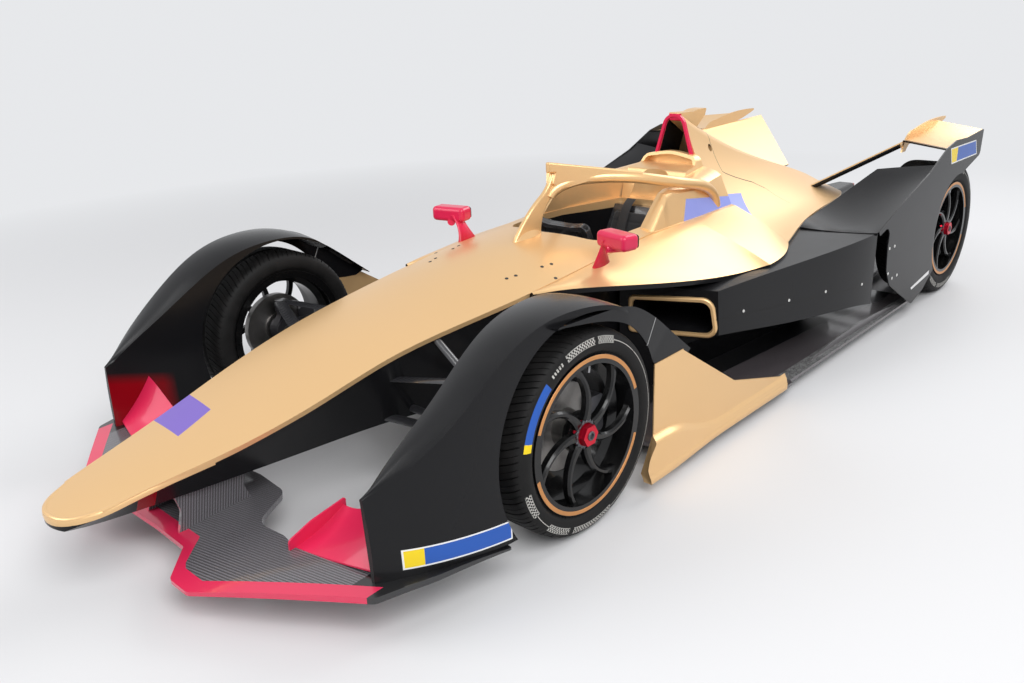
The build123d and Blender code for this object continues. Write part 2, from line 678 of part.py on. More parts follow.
with BuildPart() as floor:
    with BuildSketch(Plane.XY.offset(FLOOR_Z)):
        with BuildLine():
            rounded(FLOOR_OUTLINE)
        make_face()
        mirror(about=Plane.XZ)
    extrude(amount=FLOOR_THICKNESS)
    with Locations(((PLANK_FRONT_X + PLANK_BACK_X) / 2, 0, FLOOR_Z - PLANK_THICKNESS / 2)):
        Box(PLANK_FRONT_X - PLANK_BACK_X, 2 * PLANK_HALF_WIDTH, PLANK_THICKNESS)
    for side in (-1, 1):
        with BuildSketch(Plane.XZ.offset(-side * FLOOR_FENCE_Y)):
            with BuildLine():
                base_z = FLOOR_Z + FLOOR_THICKNESS
                ThreePointArc(
                    (FLOOR_FENCE_FRONT_X, base_z),
                    ((FLOOR_FENCE_FRONT_X + FLOOR_FENCE_BACK_X) / 2, base_z + FLOOR_FENCE_HEIGHT),
                    (FLOOR_FENCE_BACK_X, base_z),
                )
                Line((FLOOR_FENCE_BACK_X, base_z), (FLOOR_FENCE_FRONT_X, base_z))
            make_face()
        extrude(amount=side * FLOOR_FENCE_THICKNESS)

# Diffuser from the side: x, z of its upper face.
DIFFUSER_HALF_WIDTH = 540.0
DIFFUSER_EXIT_Z = 300.0
DIFFUSER_SKIN = 10.0
STRAKE_THICKNESS = 6.0
STRAKE_STEP = (DIFFUSER_HALF_WIDTH - STRAKE_THICKNESS / 2) / 3

with BuildPart() as diffuser:
    with BuildSketch(Plane.XZ.offset(-DIFFUSER_HALF_WIDTH)):
        with BuildLine():
            Line((-1500, FLOOR_Z), (-1500, FLOOR_Z + DIFFUSER_SKIN))
            ThreePointArc(
                (-1500, FLOOR_Z + DIFFUSER_SKIN),
                (-2060, 148 + DIFFUSER_SKIN),
                (TAIL_X, DIFFUSER_EXIT_Z + DIFFUSER_SKIN),
            )
            Line((TAIL_X, DIFFUSER_EXIT_Z + DIFFUSER_SKIN), (TAIL_X, DIFFUSER_EXIT_Z))
            ThreePointArc((TAIL_X, DIFFUSER_EXIT_Z), (-2060, 148), (-1500, FLOOR_Z))
        make_face()
    extrude(amount=2 * DIFFUSER_HALF_WIDTH)
    for station in range(-3, 4):
        with BuildSketch(Plane.XZ.offset(-station * STRAKE_STEP + STRAKE_THICKNESS / 2)):
            with BuildLine():
                ThreePointArc((-1560, FLOOR_Z + 4), (-2060, 150), (TAIL_X, DIFFUSER_EXIT_Z + 2))
                Line((TAIL_X, DIFFUSER_EXIT_Z + 2), (TAIL_X + 60, 120))
                ThreePointArc((TAIL_X + 60, 120), (-2100, 66), (-1560, FLOOR_Z + 4))
            make_face()
        extrude(amount=-STRAKE_THICKNESS)

# Plate behind the left front wheel: x, z, corner radius.
SIDE_PLATE_OUTLINE = (
    (1022.0, 120.0, 30.0),
    (1022.0, 385.0, 10.0),
    (871.0, 444.0, 6.0),
    (514.0, 216.0, 80.0),
    (149.0, 112.0, 8.0),
    (79.0, FLOOR_Z + FLOOR_THICKNESS, 0.0),
    (800.0, FLOOR_Z + FLOOR_THICKNESS, 60.0),
    (1000.0, 80.0, 20.0),
)
SIDE_PLATE_Y = HALF_WIDTH - 9.0

with BuildPart() as side_plates:
    with BuildSketch(Plane.XZ.offset(-SIDE_PLATE_Y)):
        with BuildLine():
            rounded(SIDE_PLATE_OUTLINE)
        make_face()
    extrude(amount=PLATE_THICKNESS)
    add(fender_left.part, mode=Mode.SUBTRACT)
    add(floor.part, mode=Mode.SUBTRACT)
    mirror(about=Plane.XZ)

# Head surround beside the driver, left side: x, inner y, outer y, height of its crown and of
# its outer edge.
SURROUND_SECTIONS = (
    (246.0, 262.0, 326.0, 650.0, 630.0),
    (150.0, 259.0, 316.0, 742.0, 722.0),
    (112.0, 257.0, 306.0, 774.0, 752.0),
    (66.0, 250.0, 302.0, 784.0, 762.0),
    (-120.0, 204.0, 296.0, 774.0, 752.0),
    (TUB_BACK_X, 112.0, 250.0, 800.0, 772.0),
)
SURROUND_BASE_Z = 600.0
SURROUND_OUTER_Y = 331.0
# Headrest behind the driver from the side: x, z, corner radius.
HEADREST_SIDE = (
    (TUB_BACK_X, SURROUND_BASE_Z, 0.0),
    (TUB_BACK_X, 880.0, 0.0),
    (-388.0, 880.0, 6.0),
    (-350.0, 812.0, 8.0),
    (-262.0, 798.0, 12.0),
    (-236.0, 750.0, 20.0),
    (-200.0, SURROUND_BASE_Z, 0.0),
)
# The same from the front: y, z, corner radius.
HEADREST_FRONT = (
    (-166.0, SURROUND_BASE_Z, 0.0),
    (-166.0, 772.0, 30.0),
    (-138.0, 850.0, 40.0),
    (0.0, 872.0, 300.0),
    (138.0, 850.0, 40.0),
    (166.0, 772.0, 30.0),
    (166.0, SURROUND_BASE_Z, 0.0),
)
HEADREST_RIM = 14.0
HEADREST_SHELF_Z = 812.0
HELMET_X = -110.0
HELMET_RADIUS = 158.0

with BuildPart() as headrest:
    with BuildSketch(Plane.XZ.offset(-200)):
        with BuildLine():
            rounded(HEADREST_SIDE)
        make_face()
    extrude(amount=400)
    with BuildSketch(Plane.YZ.offset(TUB_BACK_X)):
        with BuildLine():
            rounded(HEADREST_FRONT)
        make_face()
    extrude(amount=300, mode=Mode.INTERSECT)
    with BuildSketch(Plane.YZ.offset(TUB_BACK_X + HEADREST_RIM)):
        with BuildLine():
            rounded(HEADREST_FRONT)
        make_face()
        offset(amount=-HEADREST_RIM, mode=Mode.REPLACE)
        with Locations((0, HEADREST_SHELF_Z - 150)):
            Rectangle(400, 300, mode=Mode.SUBTRACT)
    extrude(amount=300, mode=Mode.SUBTRACT)
    with Locations((HELMET_X, 0, 800)):
        Cylinder(HELMET_RADIUS, 320, mode=Mode.SUBTRACT)

with BuildPart() as surround_form:
    for x, inner_y, outer_y, crown_z, edge_z in SURROUND_SECTIONS:
        with BuildSketch(Plane.YZ.offset(x)):
            with BuildLine():
                ThreePointArc(
                    (inner_y, crown_z - 4), ((inner_y + outer_y) / 2 + 6, crown_z), (outer_y, edge_z)
                )
                Polyline(
                    (outer_y, edge_z),
                    (SURROUND_OUTER_Y, SURROUND_BASE_Z),
                    (inner_y, SURROUND_BASE_Z),
                    (inner_y, crown_z - 4),
                )
            make_face()
    loft(ruled=True)
    mirror(about=Plane.XZ)
    add(headrest.part)
    add(monocoque.part, mode=Mode.SUBTRACT)
    add(cockpit_deck.part, mode=Mode.SUBTRACT)

with BuildPart() as head_surround:
    add(surround_form.part.solids().sort_by(SortBy.VOLUME)[-1])

# Halo: control points of the left half's centre line, x, y, z. Each row is one smooth run.
HALO_RUNS = (
    ((505.0, 0.0, 796.0), (488.0, 6.0, 832.0), (424.0, 46.0, 853.0), (384.0, 76.0, 857.0)),
    ((384.0, 76.0, 857.0), (315.0, 134.0, 863.0), (246.0, 199.0, 858.0), (172.0, 245.0, 842.0)),
    ((172.0, 245.0, 842.0), (88.0, 297.0, 824.0), (5.0, 306.0, 805.0), (-93.0, 306.0, 785.0)),
    ((-93.0, 306.0, 785.0), (-191.0, 306.0, 765.0), (-285.0, 298.0, 725.0), (-300.0, 292.0, 655.0)),
)
HALO_RADIUS = 23.0
# Fairing on the halo's front in plan: x, y, corner radius, and from the side: x, z.
HALO_FAIRING_PLAN = (
    (524.0, 0.0, 14.0),
    (200.0, 244.0, 0.0),
    (200.0, 202.0, 0.0),
    (467.0, 0.0, 8.0),
    (200.0, -202.0, 0.0),
    (200.0, -244.0, 0.0),
)
HALO_FAIRING_SIDE = (
    (530.0, 940.0),
    (180.0, 871.0),
    (240.0, 846.0),
    (384.0, 850.0),
    (470.0, 826.0),
    (500.0, 850.0),
    (489.0, 892.0),
    (530.0, 892.0),
)
HALO_FAIRING_EDGE = 7.0
HALO_PILLAR_THICKNESS = 22.0
HALO_PILLAR_EDGE = 8.0

with BuildPart() as halo_fairing:
    with BuildSketch(Plane.XY.offset(800)):
        with BuildLine():
            rounded(HALO_FAIRING_PLAN)
        make_face()
    extrude(amount=160)
    with BuildSketch(Plane.XZ.offset(-300)):
        with BuildLine():
            Polyline(*HALO_FAIRING_SIDE, close=True)
        make_face()
    extrude(amount=600, mode=Mode.INTERSECT)
    fillet(faces().sort_by(Axis.Z)[-1].edges(), HALO_FAIRING_EDGE)

with BuildPart() as halo_pillar:
    with BuildSketch(Plane.XZ.offset(-HALO_PILLAR_THICKNESS / 2)):
        with BuildLine():
            Line((566, 630), (744, 630))
            ThreePointArc((744, 630), (660, 731), (554, 811))
            ThreePointArc((554, 811), (512, 852), (489, 894))
            Line((489, 894), (462, 894))
            Line((462, 894), (488, 800))
            ThreePointArc((488, 800), (554, 726), (566, 630))
        make_face()
    extrude(amount=HALO_PILLAR_THICKNESS)
    fillet(faces().filter_by(Axis.Y).edges().filter_by(GeomType.CIRCLE), HALO_PILLAR_EDGE)
    with BuildSketch(Plane.XY.offset(630)):
        with Locations((654, 0)):
            Ellipse(98, 36)
    with BuildSketch(Plane.XY.offset(690)):
        with Locations((632, 0)):
            Ellipse(64, 8)
    loft()

with BuildPart() as halo:
    with BuildLine() as halo_line:
        for run in HALO_RUNS:
            Bezier(*run)
    with BuildSketch(Plane(origin=HALO_RUNS[0][0], z_dir=halo_line.wires()[0] % 0)):
        Circle(HALO_RADIUS)
    sweep(path=halo_line.wires()[0])
    mirror(about=Plane.XZ)
    add(halo_pillar.part)
    add(halo_fairing.part)
    add(monocoque.part, mode=Mode.SUBTRACT)
    add(head_surround.part, mode=Mode.SUBTRACT)

# Mirrors, left side: pod, tyre sensor under it and the stalk on the deck.
MIRROR_CENTRE = (640.0, 440.0, 704.0)
MIRROR_SIZE = (78.0, 160.0, 62.0)
MIRROR_TURN_DEG = -13.0
MIRROR_EDGE = 18.0
SENSOR_END = (606.0, 468.0, 674.0)
SENSOR_RADIUS = 17.0
SENSOR_LENGTH = 84.0
SENSOR_BORE = 12.0
# Stalk sections: x, y, z, half chord, half thickness.
STALK_SECTIONS = (
    (628.0, 362.0, 560.0, 74.0, 24.0),
    (634.0, 364.0, 612.0, 44.0, 12.0),
    (644.0, 384.0, 668.0, 26.0, 8.0),
    (648.0, 402.0, 704.0, 30.0, 10.0),
)

with BuildPart() as mirror_left:
    with Locations(Location(MIRROR_CENTRE, (0, 0, MIRROR_TURN_DEG))):
        Box(*MIRROR_SIZE)
    fillet(edges(), MIRROR_EDGE)
    sensor = Plane(origin=SENSOR_END, z_dir=(-0.76, 0.65, 0))
    with BuildSketch(sensor):
        Circle(SENSOR_RADIUS)
    extrude(amount=-SENSOR_LENGTH)
    for x, y, z, half_chord, half_thickness in STALK_SECTIONS:
        with BuildSketch(Plane.XY.offset(z)):
            with Locations((x, y)):
                Ellipse(half_chord, half_thickness)
    loft()
    with BuildSketch(sensor):
        Circle(SENSOR_BORE)
    extrude(amount=-30, mode=Mode.SUBTRACT)
    add(monocoque.part, mode=Mode.SUBTRACT)
    add(deck_left.part, mode=Mode.SUBTRACT)

with BuildPart() as mirrors:
    add(mirror_left.part.solids().sort_by(SortBy.VOLUME)[-1])
    mirror(about=Plane.XZ)

# Camera mount above the roll hoop from the side: x, z, corner radius.
CAMERA_MOUNT = (
    (-404.0, 1008.0, 0.0),
    (-400.0, 1042.0, 8.0),
    (-520.0, 1036.0, 0.0),
    (-560.0, 1043.0, 10.0),
    (-634.0, 1043.0, 6.0),
    (-622.0, 1012.0, 10.0),
    (-520.0, 940.0, 0.0),
)
CAMERA_MOUNT_HALF_WIDTH = 30.0

with BuildPart() as hoop_form:
    with BuildSketch(Plane.YZ.offset(TUB_BACK_X)):
        for inset in (0, HOOP_RIM):
            shoulder = (62 - inset, 985 - inset / 4)
            with BuildLine():
                ThreePointArc((-shoulder[0], shoulder[1]), (0, 1036 - inset), shoulder)
                Polyline(shoulder, (118 - inset, 800), (inset - 118, 800), (-shoulder[0], shoulder[1]))
            make_face(mode=Mode.SUBTRACT if inset else Mode.ADD)
    extrude(amount=HOOP_DEPTH)
    add(head_surround.part, mode=Mode.SUBTRACT)
    with BuildSketch(Plane.XZ.offset(-CAMERA_MOUNT_HALF_WIDTH)):
        with BuildLine():
            rounded(CAMERA_MOUNT)
        make_face()
    extrude(amount=2 * CAMERA_MOUNT_HALF_WIDTH)
    add(engine_cover.part, mode=Mode.SUBTRACT)

with BuildPart() as roll_hoop:
    add(hoop_form.part.solids().sort_by(SortBy.VOLUME)[-1])

# Seat from the side: its outline and the hollow between its wings, x, z, corner radius.
SEAT_HALF_WIDTH = 228.0
SEAT_INNER_HALF_WIDTH = 201.0
SEAT_OUTLINE = (
    (-188.0, 640.0, 0.0),
    (-128.0, 640.0, 20.0),
    (-10.0, 430.0, 70.0),
    (200.0, 330.0, 80.0),
    (500.0, 310.0, 40.0),
    (524.0, 214.0, 16.0),
    (330.0, 140.0, 60.0),
    (10.0, 152.0, 60.0),
)
SEAT_HOLLOW = (
    (-156.0, 700.0, 0.0),
    (-156.0, 640.0, 0.0),
    (36.0, 186.0, 60.0),
    (330.0, 166.0, 60.0),
    (540.0, 248.0, 0.0),
    (540.0, 700.0, 0.0),
)

with BuildPart() as seat_shell:
    with BuildSketch(Plane.XZ.offset(-SEAT_HALF_WIDTH)):
        with BuildLine():
            rounded(SEAT_OUTLINE)
        make_face()
    extrude(amount=2 * SEAT_HALF_WIDTH)
    with BuildSketch(Plane.XZ.offset(-SEAT_INNER_HALF_WIDTH)):
        with BuildLine():
            rounded(SEAT_HOLLOW)
        make_face()
    extrude(amount=2 * SEAT_INNER_HALF_WIDTH, mode=Mode.SUBTRACT)
    add(monocoque.part, mode=Mode.SUBTRACT)
    add(head_surround.part, mode=Mode.SUBTRACT)

with BuildPart() as seat:
    add(seat_shell.part.solids().sort_by(SortBy.VOLUME)[-1])

# Steering wheel seen by the driver: y, height along the wheel, corner radius.
WHEEL_OUTLINE = (
    (-136.0, 58.0, 24.0),
    (-140.0, -18.0, 60.0),
    (-112.0, -70.0, 24.0),
    (-60.0, -54.0, 16.0),
    (-36.0, -74.0, 14.0),
    (36.0, -74.0, 14.0),
    (60.0, -54.0, 16.0),
    (112.0, -70.0, 24.0),
    (140.0, -18.0, 60.0),
    (136.0, 58.0, 24.0),
    (58.0, 46.0, 30.0),
    (-58.0, 46.0, 30.0),
)
WHEEL_THICKNESS = 30.0
GRIP_SLOT = (24.0, 62.0, 11.0)
GRIP_SLOT_Y = 92.0
DISPLAY = (108.0, 62.0, 8.0)
DISPLAY_PROUD = 6.0
PADDLE = (66.0, 36.0, 10.0)
PADDLE_Y = 84.0
PADDLE_THICKNESS = 4.0
PADDLE_GAP = 14.0
TILT_COS = cos(radians(STEERING_TILT_DEG))
TILT_SIN = sin(radians(STEERING_TILT_DEG))
DRIVER_SIDE = Plane(
    origin=(STEERING_WHEEL_X, 0, STEERING_WHEEL_Z), x_dir=(0, -1, 0), z_dir=(-TILT_COS, 0, TILT_SIN)
)
COLUMN_START = 48.0
COLUMN_LENGTH = 290.0

with BuildPart() as steering_wheel:
    with BuildSketch(DRIVER_SIDE.offset(-WHEEL_THICKNESS / 2)):
        with BuildLine():
            rounded(WHEEL_OUTLINE)
        make_face()
        with Locations((-GRIP_SLOT_Y, 0), (GRIP_SLOT_Y, 0)):
            RectangleRounded(*GRIP_SLOT, mode=Mode.SUBTRACT)
    extrude(amount=WHEEL_THICKNESS)
    with BuildSketch(DRIVER_SIDE.offset(WHEEL_THICKNESS / 2)):
        RectangleRounded(*DISPLAY)
    extrude(amount=DISPLAY_PROUD)
    front_face = DRIVER_SIDE.offset(-WHEEL_THICKNESS / 2)
    with BuildSketch(front_face):
        with Locations((-GRIP_SLOT_Y + 34, 0), (GRIP_SLOT_Y - 34, 0)):
            Circle(6)
    extrude(amount=-PADDLE_GAP - PADDLE_THICKNESS)
    with BuildSketch(front_face.offset(-PADDLE_GAP)):
        with Locations((-PADDLE_Y, 0), (PADDLE_Y, 0)):
            RectangleRounded(*PADDLE)
    extrude(amount=-PADDLE_THICKNESS)
    with BuildSketch(front_face):
        Circle(STEERING_SHAFT_RADIUS)
    extrude(amount=-110)

with BuildPart() as steering_column:
    with BuildSketch(DRIVER_SIDE.offset(-COLUMN_START)):
        Circle(2 * STEERING_SHAFT_RADIUS)
        Circle(STEERING_SHAFT_RADIUS + RUNNING_CLEARANCE, mode=Mode.SUBTRACT)
    extrude(amount=-COLUMN_LENGTH)
    add(monocoque.part, mode=Mode.SUBTRACT)

# Battery and drive unit.
with BuildPart() as battery_pack:
    with Locations((TUB_BACK_X - BATTERY_LENGTH / 2, 0, (BATTERY_BASE_Z + BATTERY_TOP_Z) / 2)):
        Box(BATTERY_LENGTH, 2 * BATTERY_HALF_WIDTH, BATTERY_TOP_Z - BATTERY_BASE_Z)

# Drive unit and tail: x, half width, base z, top z.
DRIVE_SECTIONS = (
    (TUB_BACK_X - BATTERY_LENGTH, 210.0, 110.0, 420.0),
    (-1500.0, 190.0, 130.0, 425.0),
    (-1900.0, 120.0, 215.0, 420.0),
    (-2420.0, 60.0, 330.0, 410.0),
)
DRIVE_CORNER = 24.0

with BuildPart() as drive_unit:
    for x, half_width, base_z, top_z in DRIVE_SECTIONS:
        with BuildSketch(Plane.YZ.offset(x)):
            with Locations((0, (base_z + top_z) / 2)):
                RectangleRounded(2 * half_width, top_z - base_z, DRIVE_CORNER)
    loft(ruled=True)

with BuildPart() as rain_light:
    with BuildSketch(Plane.YZ.offset(DRIVE_SECTIONS[-1][0])):
        with Locations((0, 370)):
            RectangleRounded(100, 70, 10)
    extrude(amount=-28)

# Wheels. Every piece of a wheel is turned about its own axle.
FRONT_AXLE_Z = FRONT_TYRE_RADIUS
REAR_AXLE_Z = REAR_TYRE_RADIUS


def turned(axle_x, axle_z, profile):
    """A ring turned about the axle at axle_x, axle_z from a closed loop of radius and y."""
    with BuildPart() as ring:
        with BuildSketch(Plane.YZ.offset(axle_x)):
            with BuildLine():
                Polyline(*[(y, axle_z + radius) for radius, y in profile], close=True)
            make_face()
        revolve(axis=Axis((axle_x, 0, axle_z), (0, 1, 0)))
    return ring.part


def axle_plane(axle_x, axle_z, y):
    """A plane across an axle, facing +Y, with its first axis along +X."""
    return Plane(origin=(axle_x, y, axle_z), x_dir=(1, 0, 0), z_dir=(0, 1, 0))


def tyre(axle_x, radius, inner_y, outer_y):
    """A tyre; its beads sit just outside the rim's bead seats."""
    wall = RIM_FLANGE_RADIUS + 6
    middle_y = (inner_y + outer_y) / 2
    half_width = (outer_y - inner_y) / 2
    half_profile = (
        (RIM_BEAD_RADIUS + SEAT_GAP, half_width - BEAD_INSET),
        (wall, half_width - BEAD_INSET),
        (wall + 26, half_width),
        (radius - 20, half_width - 8),
        (radius, half_width - 46),
    )
    outer_side = [(r, middle_y + reach) for r, reach in half_profile]
    inner_side = [(r, middle_y - reach) for r, reach in reversed(half_profile)]
    return turned(axle_x, radius, outer_side + inner_side)


def spoke(axle_x, axle_z, face_y):
    """One curved spoke with bevelled front edges, narrowest at the middle of its sweep."""
    corners = []
    for share, radius, reach in (
        (0.0, SPOKE_ROOT_RADIUS, 16),
        (0.25, 135, 11),
        (1.0, RIM_BEAD_RADIUS - RIM_WALL + 4, 18),
        (1.0, RIM_BEAD_RADIUS - RIM_WALL + 4, -18),
        (0.25, 135, -11),
        (0.0, SPOKE_ROOT_RADIUS, -16),
    ):
        along = cos(radians(SPOKE_SWEEP_DEG * share))
        across = sin(radians(SPOKE_SWEEP_DEG * share))
        corners.append((radius * along - reach * across, radius * across + reach * along))
    with BuildPart() as blade:
        with BuildSketch(axle_plane(axle_x, axle_z, face_y)):
            with BuildLine():
                ThreePointArc(corners[0], corners[1], corners[2])
                Line(corners[2], corners[3])
                ThreePointArc(corners[3], corners[4], corners[5])
                Line(corners[5], corners[0])
            make_face()
        extrude(amount=-SPOKE_DEPTH)
        front = faces().sort_by(Axis.Y)[-1]
        chamfer(front.edges().filter_by(GeomType.CIRCLE), SPOKE_EDGE)
    return blade.part


def rim(axle_x, axle_z, inner_y, outer_y):
    """A rim with a well between its bead seats and curved spokes to a hub face."""
    seat_in = inner_y + BEAD_INSET - SEAT_GAP
    seat_out = outer_y - BEAD_INSET + SEAT_GAP
    bore = RIM_BEAD_RADIUS - RIM_WALL
    well_bore = RIM_WELL_RADIUS - RIM_WALL
    barrel = turned(
        axle_x,
        axle_z,
        (
            (RIM_FLANGE_RADIUS, seat_in - 8),
            (RIM_FLANGE_RADIUS, seat_in),
            (RIM_BEAD_RADIUS, seat_in),
            (RIM_BEAD_RADIUS, seat_in + 34),
            (RIM_WELL_RADIUS, seat_in + 52),
            (RIM_WELL_RADIUS, seat_out - 76),
            (RIM_BEAD_RADIUS, seat_out - 58),
            (RIM_BEAD_RADIUS, seat_out),
            (RIM_FLANGE_RADIUS, seat_out),
            (RIM_FLANGE_RADIUS, seat_out + 8),
            (bore, seat_out + 8),
            (bore, seat_out - 58),
            (well_bore, seat_out - 76),
            (well_bore, seat_in + 52),
            (bore, seat_in + 34),
            (bore, seat_in - 8),
        ),
    )
    face_y = seat_out - FACE_INSET
    blade = spoke(axle_x, axle_z, face_y)
    axle = Axis((axle_x, 0, axle_z), (0, 1, 0))
    with BuildPart() as wheel:
        add(barrel)
        with BuildSketch(axle_plane(axle_x, axle_z, face_y - HUB_INSET)):
            Circle(HUB_FACE_RADIUS)
        extrude(amount=-HUB_DEPTH)
        for number in range(SPOKE_COUNT):
            add(blade.rotate(axle, 360 / SPOKE_COUNT * number))
    return wheel.part


def hub(axle_x, axle_z, outer_y, spindle_y, disc_y):
    """A brake disc on its bell and the spindle, which turn with the wheel."""
    face_y = outer_y - BEAD_INSET + SEAT_GAP - FACE_INSET - HUB_INSET - HUB_DEPTH
    return turned(
        axle_x,
        axle_z,
        (
            (0, spindle_y),
            (SPINDLE_RADIUS, spindle_y),
            (SPINDLE_RADIUS, disc_y - 6),
            (60, disc_y - 6),
            (60, disc_y),
            (DISC_RADIUS, disc_y),
            (DISC_RADIUS, disc_y + DISC_THICKNESS),
            (60, disc_y + DISC_THICKNESS),
            (52, face_y),
            (0, face_y),
        ),
    )


def centre_nut(axle_x, axle_z, outer_y):
    """A hexagonal centre nut with a collar on the wheel face."""
    face = axle_plane(axle_x, axle_z, outer_y - BEAD_INSET + SEAT_GAP - FACE_INSET - HUB_INSET)
    with BuildPart() as nut:
        with BuildSketch(face):
            Circle(NUT_RADIUS + 8)
        extrude(amount=10, taper=20)
        with BuildSketch(face):
            RegularPolygon(NUT_RADIUS, 6)
            Circle(14, mode=Mode.SUBTRACT)
        extrude(amount=NUT_LENGTH)
    return nut.part


FRONT_DISC_Y = FRONT_TYRE_OUTER_Y - 133.0
FRONT_SPINDLE_Y = FRONT_TYRE_OUTER_Y - 205.0
REAR_DISC_Y = REAR_TYRE_OUTER_Y - 135.0
REAR_SHAFT_Y = 156.0

with BuildPart() as tyre_front_left:
    add(tyre(FRONT_AXLE_X, FRONT_TYRE_RADIUS, FRONT_TYRE_INNER_Y, FRONT_TYRE_OUTER_Y))
with BuildPart() as tyre_rear_left:
    add(tyre(REAR_AXLE_X, REAR_TYRE_RADIUS, REAR_TYRE_INNER_Y, REAR_TYRE_OUTER_Y))
with BuildPart() as rim_front_left:
    add(rim(FRONT_AXLE_X, FRONT_AXLE_Z, FRONT_TYRE_INNER_Y, FRONT_TYRE_OUTER_Y))
with BuildPart() as rim_rear_left:
    add(rim(REAR_AXLE_X, REAR_AXLE_Z, REAR_TYRE_INNER_Y, REAR_TYRE_OUTER_Y))
with BuildPart() as hub_front_left:
    add(hub(FRONT_AXLE_X, FRONT_AXLE_Z, FRONT_TYRE_OUTER_Y, FRONT_SPINDLE_Y, FRONT_DISC_Y))
with BuildPart() as hub_rear_left:
    add(hub(REAR_AXLE_X, REAR_AXLE_Z, REAR_TYRE_OUTER_Y, REAR_SHAFT_Y, REAR_DISC_Y))
with BuildPart() as nut_front_left:
    add(centre_nut(FRONT_AXLE_X, FRONT_AXLE_Z, FRONT_TYRE_OUTER_Y))
with BuildPart() as nut_rear_left:
    add(centre_nut(REAR_AXLE_X, REAR_AXLE_Z, REAR_TYRE_OUTER_Y))
with BuildPart() as tyre_front_right:
    mirror(tyre_front_left.part, about=Plane.XZ)
with BuildPart() as tyre_rear_right:
    mirror(tyre_rear_left.part, about=Plane.XZ)
with BuildPart() as rim_front_right:
    mirror(rim_front_left.part, about=Plane.XZ)
with BuildPart() as rim_rear_right:
    mirror(rim_rear_left.part, about=Plane.XZ)
with BuildPart() as hub_front_right:
    mirror(hub_front_left.part, about=Plane.XZ)
with BuildPart() as hub_rear_right:
    mirror(hub_rear_left.part, about=Plane.XZ)
with BuildPart() as nut_front_right:
    mirror(nut_front_left.part, about=Plane.XZ)
with BuildPart() as nut_rear_right:
    mirror(nut_rear_left.part, about=Plane.XZ)

# Knuckle of the left front wheel, with a calliper over the disc and an arm to the rack.
KNUCKLE_RADIUS = 50.0
KNUCKLE_INNER_Y = FRONT_SPINDLE_Y
KNUCKLE_OUTER_Y = FRONT_DISC_Y - 14.0
KINGPIN_RADIUS = 12.0
EYE_RADIUS = 25.0
EYE_HEIGHT = 24.0
EYE_RISE = 94.0
CALLIPER_BACK = 166.0
CALLIPER_FRONT = 96.0
CALLIPER_HEIGHT = 124.0
CALLIPER_WALL = 14.0
DISC_ROOM = 6.0
TRACK_ARM = 118.0
# Web of the knuckle and of the rear upright, seen along the axle: x, z, corner radius.
KNUCKLE_WEB = (
    (-17.0, -96.0, 0.0),
    (17.0, -96.0, 0.0),
    (17.0, -66.0, 30.0),
    (48.0, -20.0, 40.0),
    (48.0, 20.0, 40.0),
    (17.0, 66.0, 30.0),
    (17.0, 96.0, 0.0),
    (-17.0, 96.0, 0.0),
    (-17.0, 66.0, 30.0),
    (-48.0, 20.0, 40.0),
    (-48.0, -20.0, 40.0),
    (-17.0, -66.0, 30.0),
)
WEB_THICKNESS = 34.0
UPRIGHT_WEB = (
    (-34.0, -118.0, 12.0),
    (34.0, -118.0, 12.0),
    (60.0, 0.0, 60.0),
    (34.0, 118.0, 12.0),
    (-34.0, 118.0, 12.0),
    (-60.0, 0.0, 60.0),
)
UPRIGHT_Y = REAR_TYRE_OUTER_Y - 179.0
UPRIGHT_THICKNESS = 22.0
UPRIGHT_HOLE_RADIUS = 16.0
UPRIGHT_HOLE_RISE = 70.0


def calliper_body(axle_x, axle_z, disc_y):
    """A calliper behind the axle that straddles the brake disc, its outer corners rounded."""
    low_y = disc_y - DISC_ROOM - CALLIPER_WALL
    high_y = disc_y + DISC_THICKNESS + DISC_ROOM + CALLIPER_WALL
    slot_back = axle_x - DISC_RADIUS - DISC_ROOM
    middle = (axle_x - (CALLIPER_BACK + CALLIPER_FRONT) / 2, (low_y + high_y) / 2, axle_z)
    with BuildPart() as calliper:
        with Locations(middle):
            Box(CALLIPER_BACK - CALLIPER_FRONT, high_y - low_y, CALLIPER_HEIGHT)
        fillet(edges().filter_by(Axis.Y), 14)
        with Locations((slot_back + 60, disc_y + DISC_THICKNESS / 2, axle_z)):
            Box(120, DISC_THICKNESS + 2 * DISC_ROOM, CALLIPER_HEIGHT + 20, mode=Mode.SUBTRACT)
    return calliper.part


